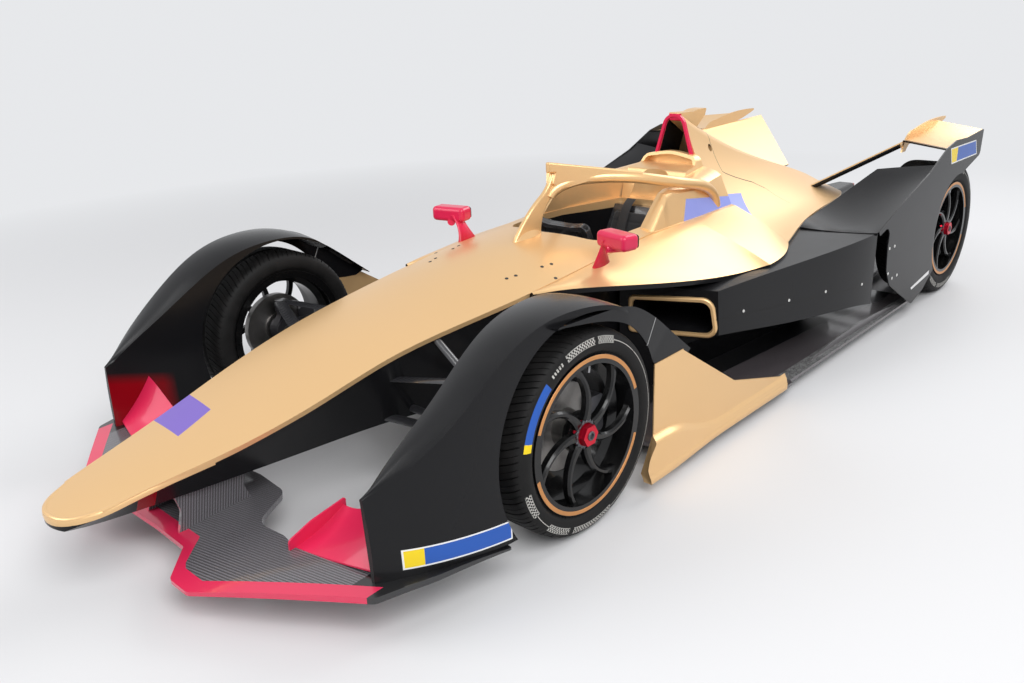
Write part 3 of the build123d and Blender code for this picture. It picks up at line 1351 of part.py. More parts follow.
with BuildPart() as knuckle_left:
    with BuildSketch(axle_plane(FRONT_AXLE_X, FRONT_AXLE_Z, KINGPIN_Y - 8 - WEB_THICKNESS / 2)):
        with BuildLine():
            rounded(KNUCKLE_WEB)
        make_face()
    extrude(amount=WEB_THICKNESS)
    with BuildSketch(axle_plane(FRONT_AXLE_X, FRONT_AXLE_Z, KNUCKLE_INNER_Y)):
        Circle(KNUCKLE_RADIUS)
    extrude(amount=KNUCKLE_OUTER_Y - KNUCKLE_INNER_Y)
    for side in (-1, 1):
        with Locations((FRONT_AXLE_X, KINGPIN_Y, FRONT_AXLE_Z + side * EYE_RISE)):
            Cylinder(EYE_RADIUS, EYE_HEIGHT)
            Cylinder(KINGPIN_RADIUS + RUNNING_CLEARANCE, 60, mode=Mode.SUBTRACT)
    add(calliper_body(FRONT_AXLE_X, FRONT_AXLE_Z, FRONT_DISC_Y))
    with Locations((FRONT_AXLE_X - 90, FRONT_DISC_Y - DISC_ROOM - CALLIPER_WALL, FRONT_AXLE_Z)):
        Box(100, 20, 44)
    with Locations((FRONT_AXLE_X + TRACK_ARM / 2 + 14, KINGPIN_Y - 22, RACK_Z)):
        Box(TRACK_ARM, 18, 24)
    with Locations((FRONT_AXLE_X + 30, KINGPIN_Y - 22, FRONT_AXLE_Z - 30)):
        Box(30, 18, 60)
    with BuildSketch(axle_plane(FRONT_AXLE_X, FRONT_AXLE_Z, KNUCKLE_INNER_Y - 5)):
        Circle(SPINDLE_RADIUS + RUNNING_CLEARANCE)
    extrude(amount=KNUCKLE_OUTER_Y - KNUCKLE_INNER_Y + 10, mode=Mode.SUBTRACT)

with BuildPart() as knuckle_right:
    mirror(knuckle_left.part, about=Plane.XZ)

# Front wishbones and push rod, left side, x from the axle: start x, y, z, end x, y, z, chord,
# thickness.
FRONT_UPPER_Z = 440.0
FRONT_LOWER_Z = 204.0
FRONT_ARM_Y = KINGPIN_Y - 12.0
FRONT_ARMS = (
    (197.0, 232.0, 402.0, 9.0, FRONT_ARM_Y, FRONT_UPPER_Z, 50.0, 14.0),
    (-193.0, 250.0, 402.0, -9.0, FRONT_ARM_Y, FRONT_UPPER_Z, 50.0, 14.0),
    (207.0, 196.0, 262.0, 9.0, FRONT_ARM_Y, FRONT_LOWER_Z, 54.0, 16.0),
    (-213.0, 210.0, 240.0, -9.0, FRONT_ARM_Y, FRONT_LOWER_Z, 54.0, 16.0),
    (37.0, 264.0, 505.0, 13.0, KINGPIN_Y - 84.0, FRONT_LOWER_Z + 10, 34.0, 20.0),
)


def arm(start, end, chord, depth):
    """A straight link whose section is a lens, its chord lying fore and aft."""
    run = Vector(*end) - Vector(*start)
    with BuildPart() as link:
        with BuildSketch(Plane(origin=start, x_dir=(1, 0, 0), z_dir=run)):
            with BuildLine():
                ThreePointArc((-chord / 2, 0), (0, depth / 2), (chord / 2, 0))
                ThreePointArc((chord / 2, 0), (0, -depth / 2), (-chord / 2, 0))
            make_face()
        extrude(amount=run.length)
    return link.part


with BuildPart() as front_suspension:
    for x, y, z, end_x, end_y, end_z, chord, depth in FRONT_ARMS:
        add(arm((FRONT_AXLE_X + x, y, z), (FRONT_AXLE_X + end_x, end_y, end_z), chord, depth))
    for side, arm_z in ((1, FRONT_UPPER_Z), (-1, FRONT_LOWER_Z)):
        with Locations((FRONT_AXLE_X, KINGPIN_Y, arm_z)):
            Cylinder(EYE_RADIUS - 1, 14)
        with Locations((FRONT_AXLE_X, KINGPIN_Y, arm_z - side * 24)):
            Cylinder(KINGPIN_RADIUS, 48)
    add(monocoque.part, mode=Mode.SUBTRACT)
    mirror(about=Plane.XZ)

with BuildPart() as rear_uprights:
    with BuildSketch(axle_plane(REAR_AXLE_X, REAR_AXLE_Z, UPRIGHT_Y)):
        with BuildLine():
            rounded(UPRIGHT_WEB)
        make_face()
        Circle(SPINDLE_RADIUS + RUNNING_CLEARANCE, mode=Mode.SUBTRACT)
        with Locations((0, UPRIGHT_HOLE_RISE), (0, -UPRIGHT_HOLE_RISE)):
            Circle(UPRIGHT_HOLE_RADIUS, mode=Mode.SUBTRACT)
    extrude(amount=UPRIGHT_THICKNESS)
    add(calliper_body(REAR_AXLE_X, REAR_AXLE_Z, REAR_DISC_Y))
    with Locations((REAR_AXLE_X - 80, UPRIGHT_Y + UPRIGHT_THICKNESS / 2, REAR_AXLE_Z)):
        Box(80, UPRIGHT_THICKNESS, 50)
    with Locations((REAR_AXLE_X - 106, REAR_DISC_Y - DISC_ROOM - CALLIPER_WALL, REAR_AXLE_Z)):
        Box(20, 30, 50)
    mirror(about=Plane.XZ)

# Rear wishbones, left side: the same columns.
REAR_ARM_Y = UPRIGHT_Y + 6.0
REAR_ARMS = (
    (197.0, 150.0, 330.0, 15.0, REAR_ARM_Y, 440.0, 50.0, 14.0),
    (-193.0, 100.0, 360.0, -15.0, REAR_ARM_Y, 440.0, 50.0, 14.0),
    (197.0, 150.0, 170.0, 15.0, REAR_ARM_Y, 250.0, 54.0, 16.0),
    (-193.0, 100.0, 260.0, -15.0, REAR_ARM_Y, 250.0, 54.0, 16.0),
)

with BuildPart() as rear_suspension:
    for x, y, z, end_x, end_y, end_z, chord, depth in REAR_ARMS:
        add(arm((REAR_AXLE_X + x, y, z), (REAR_AXLE_X + end_x, end_y, end_z), chord, depth))
    add(drive_unit.part, mode=Mode.SUBTRACT)
    mirror(about=Plane.XZ)
    add(rear_uprights.part, mode=Mode.SUBTRACT)

# Rack with its track rods.
TRACK_ROD_END_Y = KINGPIN_Y - 22 - 9 - DISC_ROOM

with BuildPart() as steering_rack:
    with Locations(Location((RACK_X, 0, RACK_Z), (90, 0, 0))):
        Cylinder(RACK_RADIUS, 2 * TRACK_ROD_END_Y)

os.makedirs("parts", exist_ok=True)
NODES = {
    "nose_cone": nose_cone,
    "monocoque": monocoque,
    "front_wing": front_wing,
    "fender_left": fender_left,
    "fender_right": fender_right,
    "front_wing_flaps": front_wing_flaps,
    "cockpit_deck": cockpit_deck,
    "sidepod_left": sidepod_left,
    "sidepod_right": sidepod_right,
    "engine_cover": engine_cover,
    "rear_guard_left": rear_guard_left,
    "rear_guard_right": rear_guard_right,
    "rear_wings": rear_wings,
    "floor": floor,
    "diffuser": diffuser,
    "side_plates": side_plates,
    "head_surround": head_surround,
    "halo": halo,
    "mirrors": mirrors,
    "roll_hoop": roll_hoop,
    "seat": seat,
    "steering_wheel": steering_wheel,
    "steering_column": steering_column,
    "battery_pack": battery_pack,
    "drive_unit": drive_unit,
    "rain_light": rain_light,
    "tyre_front_left": tyre_front_left,
    "tyre_front_right": tyre_front_right,
    "tyre_rear_left": tyre_rear_left,
    "tyre_rear_right": tyre_rear_right,
    "rim_front_left": rim_front_left,
    "rim_front_right": rim_front_right,
    "rim_rear_left": rim_rear_left,
    "rim_rear_right": rim_rear_right,
    "hub_front_left": hub_front_left,
    "hub_front_right": hub_front_right,
    "hub_rear_left": hub_rear_left,
    "hub_rear_right": hub_rear_right,
    "nut_front_left": nut_front_left,
    "nut_front_right": nut_front_right,
    "nut_rear_left": nut_rear_left,
    "nut_rear_right": nut_rear_right,
    "knuckle_left": knuckle_left,
    "knuckle_right": knuckle_right,
    "front_suspension": front_suspension,
    "rear_suspension": rear_suspension,
    "rear_uprights": rear_uprights,
    "steering_rack": steering_rack,
}
for label, node in NODES.items():
    node.part.label = label
    export_step(node.part, f"parts/{label}.step")
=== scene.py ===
import math
import bmesh
import bpy
import numpy as np
from mathutils import Matrix, Vector


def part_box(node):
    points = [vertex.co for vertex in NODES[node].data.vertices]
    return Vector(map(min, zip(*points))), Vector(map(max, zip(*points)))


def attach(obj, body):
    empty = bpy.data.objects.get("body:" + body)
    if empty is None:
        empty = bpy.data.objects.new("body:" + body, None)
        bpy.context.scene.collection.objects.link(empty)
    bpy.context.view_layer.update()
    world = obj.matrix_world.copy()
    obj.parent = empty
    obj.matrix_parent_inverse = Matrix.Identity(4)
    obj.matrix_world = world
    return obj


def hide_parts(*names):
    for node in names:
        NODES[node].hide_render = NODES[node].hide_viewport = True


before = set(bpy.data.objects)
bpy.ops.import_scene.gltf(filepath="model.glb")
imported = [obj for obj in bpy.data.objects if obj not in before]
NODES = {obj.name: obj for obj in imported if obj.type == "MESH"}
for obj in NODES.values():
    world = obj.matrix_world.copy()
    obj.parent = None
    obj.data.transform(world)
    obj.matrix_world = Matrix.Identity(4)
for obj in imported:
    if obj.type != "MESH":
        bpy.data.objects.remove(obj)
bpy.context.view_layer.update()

GOLD = (0.80, 0.52, 0.255, 1)
BLACK = (0.007, 0.007, 0.008, 1)
PINK = (0.70, 0.020, 0.085, 1)
DARK_RED = (0.22, 0.002, 0.006, 1)
BLUE = (0.025, 0.10, 0.42, 1)
PALE_BLUE = (0.28, 0.33, 0.78, 1)
YELLOW = (0.85, 0.62, 0.02, 1)
PURPLE = (0.20, 0.13, 0.50, 1)
WHITE = (0.78, 0.78, 0.78, 1)
DUST = (0.42, 0.40, 0.37, 1)
SEAM = (0.004, 0.003, 0.002, 1)
# Pale grey for a painted highlight along a panel joint.
JOINT_HIGHLIGHT_GREY = (0.30, 0.30, 0.30, 1)
SKY = (0.80, 0.81, 0.83, 1)

GOLD_ROUGHNESS, GOLD_METALLIC, BLACK_ROUGHNESS = 0.30, 0.50, 0.24
ALL_GOLD, ALL_BLACK = "all gold", "all black"

FRONT_AXLE = (1.363, 0.322)
REAR_AXLE = (-1.737, 0.345)
CORNERS = {
    "front_left": (FRONT_AXLE, 1), "front_right": (FRONT_AXLE, -1),
    "rear_left": (REAR_AXLE, 1), "rear_right": (REAR_AXLE, -1),
}
SIDES = (("left", 1), ("right", -1))
MADE = {}


def math_node(operation):
    """A method that adds a Math node of that kind for a value and what it is combined with."""
    return lambda value, *others: value.g.math(operation, value, *others)


class Value:
    """A node's output. Arithmetic on it adds Math nodes; comparisons give masks of 0 and 1, and
    for masks & means both, | either and ~ not."""

    __add__, __sub__, __mul__ = math_node("ADD"), math_node("SUBTRACT"), math_node("MULTIPLY")
    __truediv__, __mod__ = math_node("DIVIDE"), math_node("FLOORED_MODULO")
    __gt__, __lt__ = math_node("GREATER_THAN"), math_node("LESS_THAN")
    __and__, __or__, __abs__ = math_node("MULTIPLY"), math_node("MAXIMUM"), math_node("ABSOLUTE")

    def __init__(self, g, socket):
        self.g, self.socket = g, socket

    def __invert__(self):
        return self.g.math("SUBTRACT", 1.0, self)

    def between(self, low, high):
        return (self > low) & (self < high)


class Graph:
    """A small writer for node trees: each call adds one node and returns its output. A material's
    graph also holds its shader, and its Object coordinates as place."""

    def __init__(self, tree):
        self.tree = tree

    def add(self, kind, **settings):
        node = self.tree.nodes.new(kind)
        for key, value in settings.items():
            setattr(node, key, value)
        return node

    def wire(self, value, socket):
        if isinstance(value, Value):
            self.tree.links.new(value.socket, socket)
        else:
            socket.default_value = value

    def fill(self, node, *values):
        """Gives the values to the node's first inputs, in their order; returns its first output."""
        for value, socket in zip(values, node.inputs):
            self.wire(value, socket)
        return Value(self, node.outputs[0])

    def feed(self, sockets, **values):
        """Gives the values to the sockets of those names, with _ for a space."""
        for label, value in values.items():
            self.wire(value, sockets[label.replace("_", " ")])

    def shade(self, **values):
        self.feed(self.shader.inputs, **values)

    def outputs(self, node):
        return {socket.name: Value(self, socket) for socket in node.outputs}

    def math(self, operation, *values):
        return self.fill(self.add("ShaderNodeMath", operation=operation), *values)

    def sway(self, noise, amount, middle=1.0):
        """middle with amount times the noise's distance from its mean."""
        return self.math("MULTIPLY_ADD", noise - 0.5, amount, middle)

    def vector(self, operation, *values):
        node = self.add("ShaderNodeVectorMath", operation=operation)
        self.fill(node, *values)
        return self.outputs(node)["Value" if operation in ("LENGTH", "DOT_PRODUCT") else "Vector"]

    def scaled(self, vector, scale):
        node = self.add("ShaderNodeVectorMath", operation="SCALE")
        self.wire(scale, node.inputs["Scale"])
        return self.fill(node, vector)

    def mix(self, factor, a, b, kind="RGBA"):
        node = self.add("ShaderNodeMix", data_type=kind)
        first, result = {"FLOAT": (2, 0), "RGBA": (6, 2)}[kind]
        for value, number in ((factor, 0), (a, first), (b, first + 1)):
            self.wire(value, node.inputs[number])
        return Value(self, node.outputs[result])

    def blend(self, factor, a, b):
        """A number that goes from a to b with factor."""
        return self.mix(factor, a, b, kind="FLOAT")

    def span(self, value, low, high, to_low=0.0, to_high=1.0):
        node = self.add("ShaderNodeMapRange", clamp=True)
        return self.fill(node, value, low, high, to_low, to_high)

    def curve(self, value, points):
        """Straight runs through points (value, result), held level past both ends."""
        low, high = points[0][0], points[-1][0]
        least = min(result for _, result in points)
        most = max(result for _, result in points)
        node = self.add("ShaderNodeFloatCurve")
        line = node.mapping.curves[0]
        while len(line.points) < len(points):
            line.points.new(0.5, 0.5)
        for place, (at, result) in zip(line.points, points):
            place.location = ((at - low) / (high - low), (result - least) / (most - least))
            place.handle_type = "VECTOR"
        node.mapping.update()
        self.feed(node.inputs, Value=self.span(value, low, high))
        return self.math("MULTIPLY_ADD", Value(self, node.outputs[0]), most - least, least)

    def line_mask(self, across, along, points, width):
        """1 within half a width of the line across = curve(along), between its ends."""
        near = abs(across - self.curve(along, points)) < width / 2
        return near & along.between(points[0][0], points[-1][0])

    def noise(self, vector, scale, detail=2.0, roughness=0.5):
        node = self.add("ShaderNodeTexNoise")
        self.feed(node.inputs, Vector=vector, Scale=scale, Detail=detail, Roughness=roughness)
        return self.outputs(node)["Fac"]

    def split(self, vector):
        node = self.add("ShaderNodeSeparateXYZ")
        self.fill(node, vector)
        return list(self.outputs(node).values())

    def join(self, x, y, z):
        return self.fill(self.add("ShaderNodeCombineXYZ"), x, y, z)

    def facing(self, axis):
        """The surface's direction along an axis: 0, 1 or 2 for x, y or z."""
        return self.split(self.outputs(self.add("ShaderNodeTexCoord"))["Normal"])[axis]

    def outward(self, y):
        """The direction along y times y, so over 0 on faces that look away from the middle."""
        return self.facing(1) * y

    def call(self, group, **values):
        node = self.add("ShaderNodeGroup", node_tree=group)
        self.feed(node.inputs, **values)
        return self.outputs(node)

    def bump(self, height, strength, distance):
        node = self.add("ShaderNodeBump")
        self.feed(node.inputs, Strength=strength, Distance=distance, Height=height)
        self.shade(Normal=Value(self, node.outputs[0]))


def shader_group(describe, **inputs):
    """A node group under a function's name; the function gets the group's graph and inputs and
    returns its outputs by name. An input without a default is a vector, one with four numbers a
    colour, and so is the output Colour; the rest are numbers."""
    tree = bpy.data.node_groups.new(describe.__name__, "ShaderNodeTree")
    kinds = {type(None): "NodeSocketVector", tuple: "NodeSocketColor", float: "NodeSocketFloat"}
    for label, default in inputs.items():
        kind = kinds[type(default)]
        socket = tree.interface.new_socket(label, in_out="INPUT", socket_type=kind)
        if default is not None:
            socket.default_value = default
    g = Graph(tree)
    given = g.outputs(g.add("NodeGroupInput"))
    results = describe(g, *(given[label] for label in inputs))
    for label in results:
        kind = kinds[tuple if label == "Colour" else float]
        tree.interface.new_socket(label, in_out="OUTPUT", socket_type=kind)
    g.feed(g.add("NodeGroupOutput").inputs, **results)
    return tree


def paint_finish(g, place, colour, roughness, dust):
    """Paint: base colour with faint broad clouds, orange peel, and thin dust on upward faces."""
    smear = g.noise(place, 9.0, 3.0)
    tinted = g.scaled(colour, g.sway(g.noise(place, 2.2, 3.0), 0.06))
    dust = g.math("MAXIMUM", g.facing(2), 0.0) * g.span(smear, 0.45, 0.8) * dust
    worn = g.sway(smear, 0.05, roughness) + dust * 0.6
    return {"Colour": g.mix(dust, tinted, DUST), "Roughness": worn, "Height": g.noise(place, 340.0)}


def carbon_weave(g, place, tow, dark, light):
    """Two by two twill: along a diagonal the tows of one direction pass over two of the other. Its
    colour is a painted sheen: one direction's tows are painted darker, each tow's crown lighter.
    """
    u, v, _ = g.split(g.scaled(place, g.math("DIVIDE", 1.0, tow)))
    over = (g.math("FLOOR", u) + g.math("FLOOR", v)) % 4.0 < 1.5
    across = g.math("FRACT", g.blend(over, u, v))
    crown = ~g.math("POWER", abs(g.math("MULTIPLY_ADD", across, 2.0, -1.0)), 3.0)
    # Painted sheen: tows of one direction reach only 0.22 of the way to the light tone, and the
    # crown term paints each tow lighter along its middle, a painted highlight.
    colour = g.mix(crown * g.blend(over, 0.22, 1.0), dark, light)
    return {"Colour": colour, "Roughness": g.blend(over, 0.40, 0.24), "Height": crown}


def plate_mask(g, place, a, b, c, d, border):
    """1 inside a four-sided plate: a point's distances to its edges, a to b to c to d, all have
    one sign. Edge is 1 within border of its outline."""

    def distance(start, end):
        edge, away = g.vector("SUBTRACT", end, start), g.vector("SUBTRACT", place, start)
        return g.split(g.vector("CROSS_PRODUCT", edge, away))[2] / g.vector("LENGTH", edge)

    pairs = (
        g.math("MINIMUM", distance(a, b), distance(b, c)),
        g.math("MINIMUM", distance(c, d), distance(d, a)),
    )
    nearest = g.math("MINIMUM", *pairs)
    inside = nearest > 0.0
    return {"Mask": inside, "Edge": inside & (nearest < border)}


def ring_place(g, place, centre):
    """Distance from an axle along Y at a centre, and the angle round it from +X up, in degrees."""
    x, _, z = g.split(g.vector("SUBTRACT", place, centre))
    angle = g.math("ARCTAN2", z, x) * (180 / math.pi)
    return {"Radius": g.math("SQRT", x * x + z * z), "Angle": angle}


def cloth_weave(g, place, thread, colour):
    """Plain weave of a web or a knitted cover, from the first two numbers of place; its colour is
    painted shade, darker in the hollows between threads.
    """
    u, v, _ = g.split(g.scaled(place, g.math("DIVIDE", math.pi, thread)))
    height = abs(g.math("SINE", u)) * abs(g.math("SINE", v))
    # Colour scaled by the height is painted shade: darker in the weave's hollows, lighter on the
    # threads' crowns.
    return {"Colour": g.scaled(colour, g.math("MULTIPLY_ADD", height, 0.7, 0.6)), "Height": height}


PAINT_FINISH = shader_group(
    paint_finish, Place=None, Colour=(0.5, 0.5, 0.5, 1), Roughness=0.3, Dust=0.05
)
CARBON_WEAVE = shader_group(
    carbon_weave, Place=None, Tow=0.005, Dark=(0.004, 0.004, 0.005, 1), Light=(0.05, 0.05, 0.055, 1)
)
PLATE_MASK = shader_group(plate_mask, Place=None, A=None, B=None, C=None, D=None, Border=0.0)
RING_PLACE = shader_group(ring_place, Place=None, Centre=None)
CLOTH_WEAVE = shader_group(cloth_weave, Place=None, Thread=0.0012, Colour=(0.02, 0.02, 0.02, 1))


def material(name):
    """A new material's graph; MADE keeps the material under its name."""
    MADE[name] = bpy.data.materials.new(name)
    MADE[name].use_nodes = True
    g = Graph(MADE[name].node_tree)
    g.shader = g.tree.nodes["Principled BSDF"]
    g.place = g.outputs(g.add("ShaderNodeTexCoord"))["Object"]
    return g


def finish_paint(g, colour, roughness, metallic=0.0, coat=0.0, seams=None):
    """Paint over the whole surface; seams is a mask that darkens and sinks the paint."""
    paint = g.call(PAINT_FINISH, Place=g.place, Colour=colour, Roughness=roughness, Dust=0.012)
    colour, height = paint["Colour"], paint["Height"] * 0.012
    if seams is not None:
        colour, height = g.mix(seams * 0.85, colour, SEAM), height - seams
    g.bump(height, 0.5, 0.0012)
    g.shade(
        Base_Color=colour, Roughness=paint["Roughness"], Metallic=metallic,
        Specular_IOR_Level=0.22, Coat_Weight=coat, Coat_Roughness=0.10,
    )


def two_tone(g, gold, plates=(), seams=None, other=BLACK):
    """Gold where the mask is 1 and satin black elsewhere; plates are (mask, colour) laid on top.
    ALL_GOLD or ALL_BLACK in place of the mask leaves the finish's numbers as constants."""
    if gold == ALL_GOLD:
        colour, metallic, roughness = GOLD, GOLD_METALLIC, GOLD_ROUGHNESS
    elif gold == ALL_BLACK:
        colour, metallic, roughness = other, 0.0, BLACK_ROUGHNESS
    else:
        colour, metallic = g.mix(gold, other, GOLD), gold * GOLD_METALLIC
        roughness = g.blend(gold, BLACK_ROUGHNESS, GOLD_ROUGHNESS)
    for mask, tint in plates:
        colour = g.mix(mask, colour, tint)
        if gold != ALL_BLACK:
            metallic = g.math("MULTIPLY", metallic, ~mask)
    finish_paint(g, colour, roughness, metallic=metallic, seams=seams)


def plate(g, u, v, corners, border=0.0):
    """A blank plate between four corners (u, v), given so that they go round it anticlockwise."""
    values = {name: (*corner, 0.0) for name, corner in zip("ABCD", corners)}
    return g.call(PLATE_MASK, Place=g.join(u, v, 0.0), Border=border, **values)


NOSE_LIP = (
    (0.225, 0.623), (0.515, 0.601), (0.784, 0.575), (1.060, 0.545), (1.328, 0.516),
    (1.603, 0.476), (1.850, 0.417), (2.143, 0.347), (2.376, 0.304), (2.580, 0.266),
)
NOSE_PLATE = ((2.025, -0.268), (2.170, -0.210), (2.184, -0.010), (2.052, -0.049))
SURROUND_PLATE = ((0.011, 0.631), (-0.035, 0.729), (-0.651, 0.647), (-0.528, 0.576))
COVER_HEM = ((-1.755, 0.486), (-1.433, 0.508), (-0.412, 0.503))
COVER_SEAM = (
    (-0.986, 0.552), (-0.964, 0.584), (-0.938, 0.624), (-0.860, 0.664), (-0.802, 0.681),
    (-0.718, 0.708), (-0.638, 0.738), (-0.619, 0.750),
)
FENDER_SIGN = ((1.705, 0.140), (2.022, 0.168), (2.022, 0.226), (1.705, 0.198))
FENDER_STRIPE = ((1.968, 0.1675), (2.0175, 0.172), (2.0175, 0.2215), (1.968, 0.217))
TAIL_JOINT = ((1.0775, 0.518), (1.0335, 0.600), (1.0300, 0.598), (1.0740, 0.516))
FLANK_SEAM = ((-0.720, 0.292), (-0.352, 0.314), (0.021, 0.339), (0.339, 0.362))
INLET_PLACE = (0.450, 0.400, 0.0)
INLET_FACING = (0.9209, 0.3898, 0.0)
GUARD_SIGN = ((-1.577, 0.708), (-1.540, 0.791), (-1.932, 0.788), (-1.972, 0.708))
GUARD_BAR = ((-1.209, 0.139), (-1.196, 0.152), (-1.440, 0.186), (-1.440, 0.166))
WING_LEAD = (
    (0.0, 2.252), (0.168, 2.252), (0.240, 2.336), (0.262, 2.348), (0.352, 2.348),
    (0.794, 2.068), (0.846, 1.912), (0.884, 1.700),
)
FLOOR_INNER = ((-1.2, 0.74), (-0.6, 0.66), (0.3, 0.60), (0.8, 0.52))


def body_paint(g, x, y, z):
    """Nose and tub: gold down to a lip below the top's edge, black flanks, a dark red band under
    the nose, which is a painted red reflection, and a blank plate on it."""
    gold = z > g.curve(x, NOSE_LIP)
    purple = plate(g, x, y, NOSE_PLATE)["Mask"] & gold
    # The dark red band across the black at x 2.335 to 2.385 is a painted red reflection.
    two_tone(g, gold, ((x.between(2.335, 2.385) & ~gold, DARK_RED), (purple, PURPLE)))


def surround_plate(g, x, y, z):
    """The pale blue plate that runs over the surround and the cover, on both sides."""
    return plate(g, x, z, SURROUND_PLATE)["Mask"] & (g.outward(y) > 0.02)


def deck_paint(g, *_):
    """Cockpit deck: gold on the faces that look up."""
    two_tone(g, g.facing(2) > 0.05)


def surround_paint(g, x, y, z):
    two_tone(g, ALL_GOLD, ((surround_plate(g, x, y, z), PALE_BLUE),))


def cover_paint(g, x, y, z):
    """Engine cover: gold to its hem with two panel seams; the intake behind the hoop is black."""
    upward = g.facing(2)
    inward = (g.outward(y) < -0.002) & (z > 0.62)
    duct_floor = (x > -0.60) & (abs(y) < 0.085) & (z < 0.90) & (upward > 0.8)
    gold = ~(inward | (upward < -0.35) | duct_floor) & (z > g.curve(x, COVER_HEM))
    upright = g.line_mask(x, z, ((0.750, -0.620), (0.960, -0.622)), 0.004)
    seams = upright | g.line_mask(z, x, COVER_SEAM, 0.0045)
    two_tone(g, gold, ((surround_plate(g, x, y, z) & gold, PALE_BLUE),), seams=seams)


def fender_paint(g, x, y, z):
    """Fender: satin black, dark red at the foot of its inner face, a blank plate on its flank."""
    outward = g.outward(y)
    below_top = g.curve(x, ((1.87, 0.300), (2.08, 0.352))) - z
    inner_foot = g.span(x, 1.855, 1.90) * g.span(below_top, 0.0, 0.045) & (outward < -0.25)
    sign, stripe = plate(g, x, z, FENDER_SIGN, border=0.0045), plate(g, x, z, FENDER_STRIPE)
    signs = ((sign["Mask"], BLUE), (stripe["Mask"], YELLOW), (sign["Edge"], WHITE))
    plates = [(mask & (outward > 0.2), tint) for mask, tint in signs]
    two_tone(g, ALL_BLACK, [(inner_foot, DARK_RED), *plates])


def fender_tail_paint(g, x, y, z):
    """Fender's tail behind the wheel: satin black, with a painted highlight along the joint across
    it.
    """
    # The pale grey strip on the joint is a painted highlight.
    two_tone(g, ALL_BLACK, ((plate(g, x, z, TAIL_JOINT)["Mask"], JOINT_HIGHLIGHT_GREY),))


def flank_paint(g, x, y, z):
    """Flank pod: satin black with a gold inlet lip and two panel seams."""
    place = g.vector("SUBTRACT", g.join(x, abs(y), z), INLET_PLACE)
    along = g.line_mask(z, x, FLANK_SEAM, 0.003)
    upright = g.line_mask(x, z, ((0.336, -0.125), (0.505, -0.104)), 0.003)
    seams = (along | upright) & (abs(g.facing(1)) > 0.5)
    two_tone(g, g.vector("DOT_PRODUCT", place, INLET_FACING) > 0.0008, seams=seams)


def guard_paint(g, x, y, z):
    """Rear guard: satin black with blank plates at its top corner and its foot."""
    outer = g.outward(y) > 0.5
    sign = plate(g, x, z, GUARD_SIGN, border=0.006)
    pale = sign["Edge"] | plate(g, x, z, GUARD_BAR)["Mask"]
    signs = ((sign["Mask"], BLUE), (sign["Mask"] & (x > -1.650), YELLOW), (pale, WHITE))
    two_tone(g, ALL_BLACK, [(mask & outer, tint) for mask, tint in signs])


def rear_wing_paint(g, x, y, z):
    """Rear wings: gold above and on the fence, black leading edge, underside and struts."""
    reach, upward = abs(y), g.facing(2)
    lead = g.curve(reach, ((0.606, -1.688), (0.879, -1.531)))
    top = (upward > 0.05) & (reach > 0.6085) & (x < lead)
    two_tone(g, top | reach.between(0.5985, 0.6085) | ((reach < 0.5985) & (upward > 0.5)))


def hoop_paint(g, x, y, z):
    """Roll hoop: pink rim, gold camera mount behind and above it."""
    two_tone(g, (x < -0.4125) | (z > 1.0368), other=PINK)


def mirror_paint(g, x, y, z):
    """Mirror pods and stalks: pink, darker towards the foot, and black painted shade inside the
    sensor tube's end.
    """
    tube_end = g.join(x - 0.606, abs(y) - 0.468, 0.0)
    inward = g.vector("DOT_PRODUCT", tube_end, (-0.76, 0.65, 0))
    beside = abs(g.vector("DOT_PRODUCT", tube_end, (0.65, 0.76, 0)))
    # bore is the inside of the sensor tube's end; painting it black is painted shade.
    bore = inward.between(-0.031, -0.002) & (beside < 0.0123) & (abs(z - 0.674) < 0.0123)
    colour = g.mix(g.span(z, 0.655, 0.60), PINK, (0.50, 0.008, 0.02, 1))
    finish_paint(g, g.mix(bore, colour, BLACK), 0.30, coat=0.4)


def flap_paint(g, *_):
    """Front flaps: pink above and on the fence, dark beneath."""
    finish_paint(g, g.mix(g.facing(2) < -0.2, PINK, BLACK), 0.30, coat=0.3)


def wing_bands(g, x, y, z):
    """Smooth black outboard of the weave, and pink along the wing's leading edge."""
    reach, on_wing = abs(y), z < 0.150
    pillar = (abs(g.facing(1)) > 0.6) & (z > 0.1285) & (reach < 0.2)
    pink = (x > g.curve(reach, WING_LEAD)) & (reach < 0.776) & ~pillar & on_wing
    return ((reach > 0.705) & on_wing, BLACK, 0.36), (pink, PINK, 0.30)


def floor_bands(g, x, y, z):
    """The painted inner part, and a rough strip of chopped fibre along the floor's edge."""
    reach = abs(y)
    top = (z > 0.0595) & (g.facing(2) > 0.5)
    chips = g.add("ShaderNodeTexVoronoi")
    g.feed(chips.inputs, Vector=g.place, Scale=210.0)
    tone = g.math("MULTIPLY_ADD", g.split(g.outputs(chips)["Color"])[0], 0.22, 0.02)
    strip = top & (reach > 0.806) & (x < 0.04)
    painted = top & (reach < g.curve(x, FLOOR_INNER))
    return (painted, BLACK, 0.36), (strip, g.join(tone, tone, tone), 0.5)


def carbon(name, turn, tow, light, band=None):
    """Clear-coated twill, laid out by x with y on faces that look up and by x with z on faces that
    look sideways; band(g, x, y, z) gives (mask, colour, rough) for paint over part of it."""
    g = material(name)
    x, y, z = g.split(g.place)
    flat = g.join(x, g.blend(abs(g.facing(1)) > 0.75, y, z), 0.0)
    rotate = g.add("ShaderNodeVectorRotate", rotation_type="Z_AXIS")
    g.feed(rotate.inputs, Vector=flat, Angle=turn)
    weave = g.call(CARBON_WEAVE, Place=Value(g, rotate.outputs[0]), Tow=tow, Light=light)
    colour, roughness, height = weave["Colour"], weave["Roughness"], weave["Height"]
    for mask, tint, rough in band(g, x, y, z) if band else ():
        colour = g.mix(mask, colour, tint)
        roughness = g.blend(mask, roughness, rough)
        height = height * ~mask
    g.bump(height, 0.2, 0.0005)
    g.shade(Base_Color=colour, Roughness=roughness, Coat_Weight=0.7, Coat_Roughness=0.08)


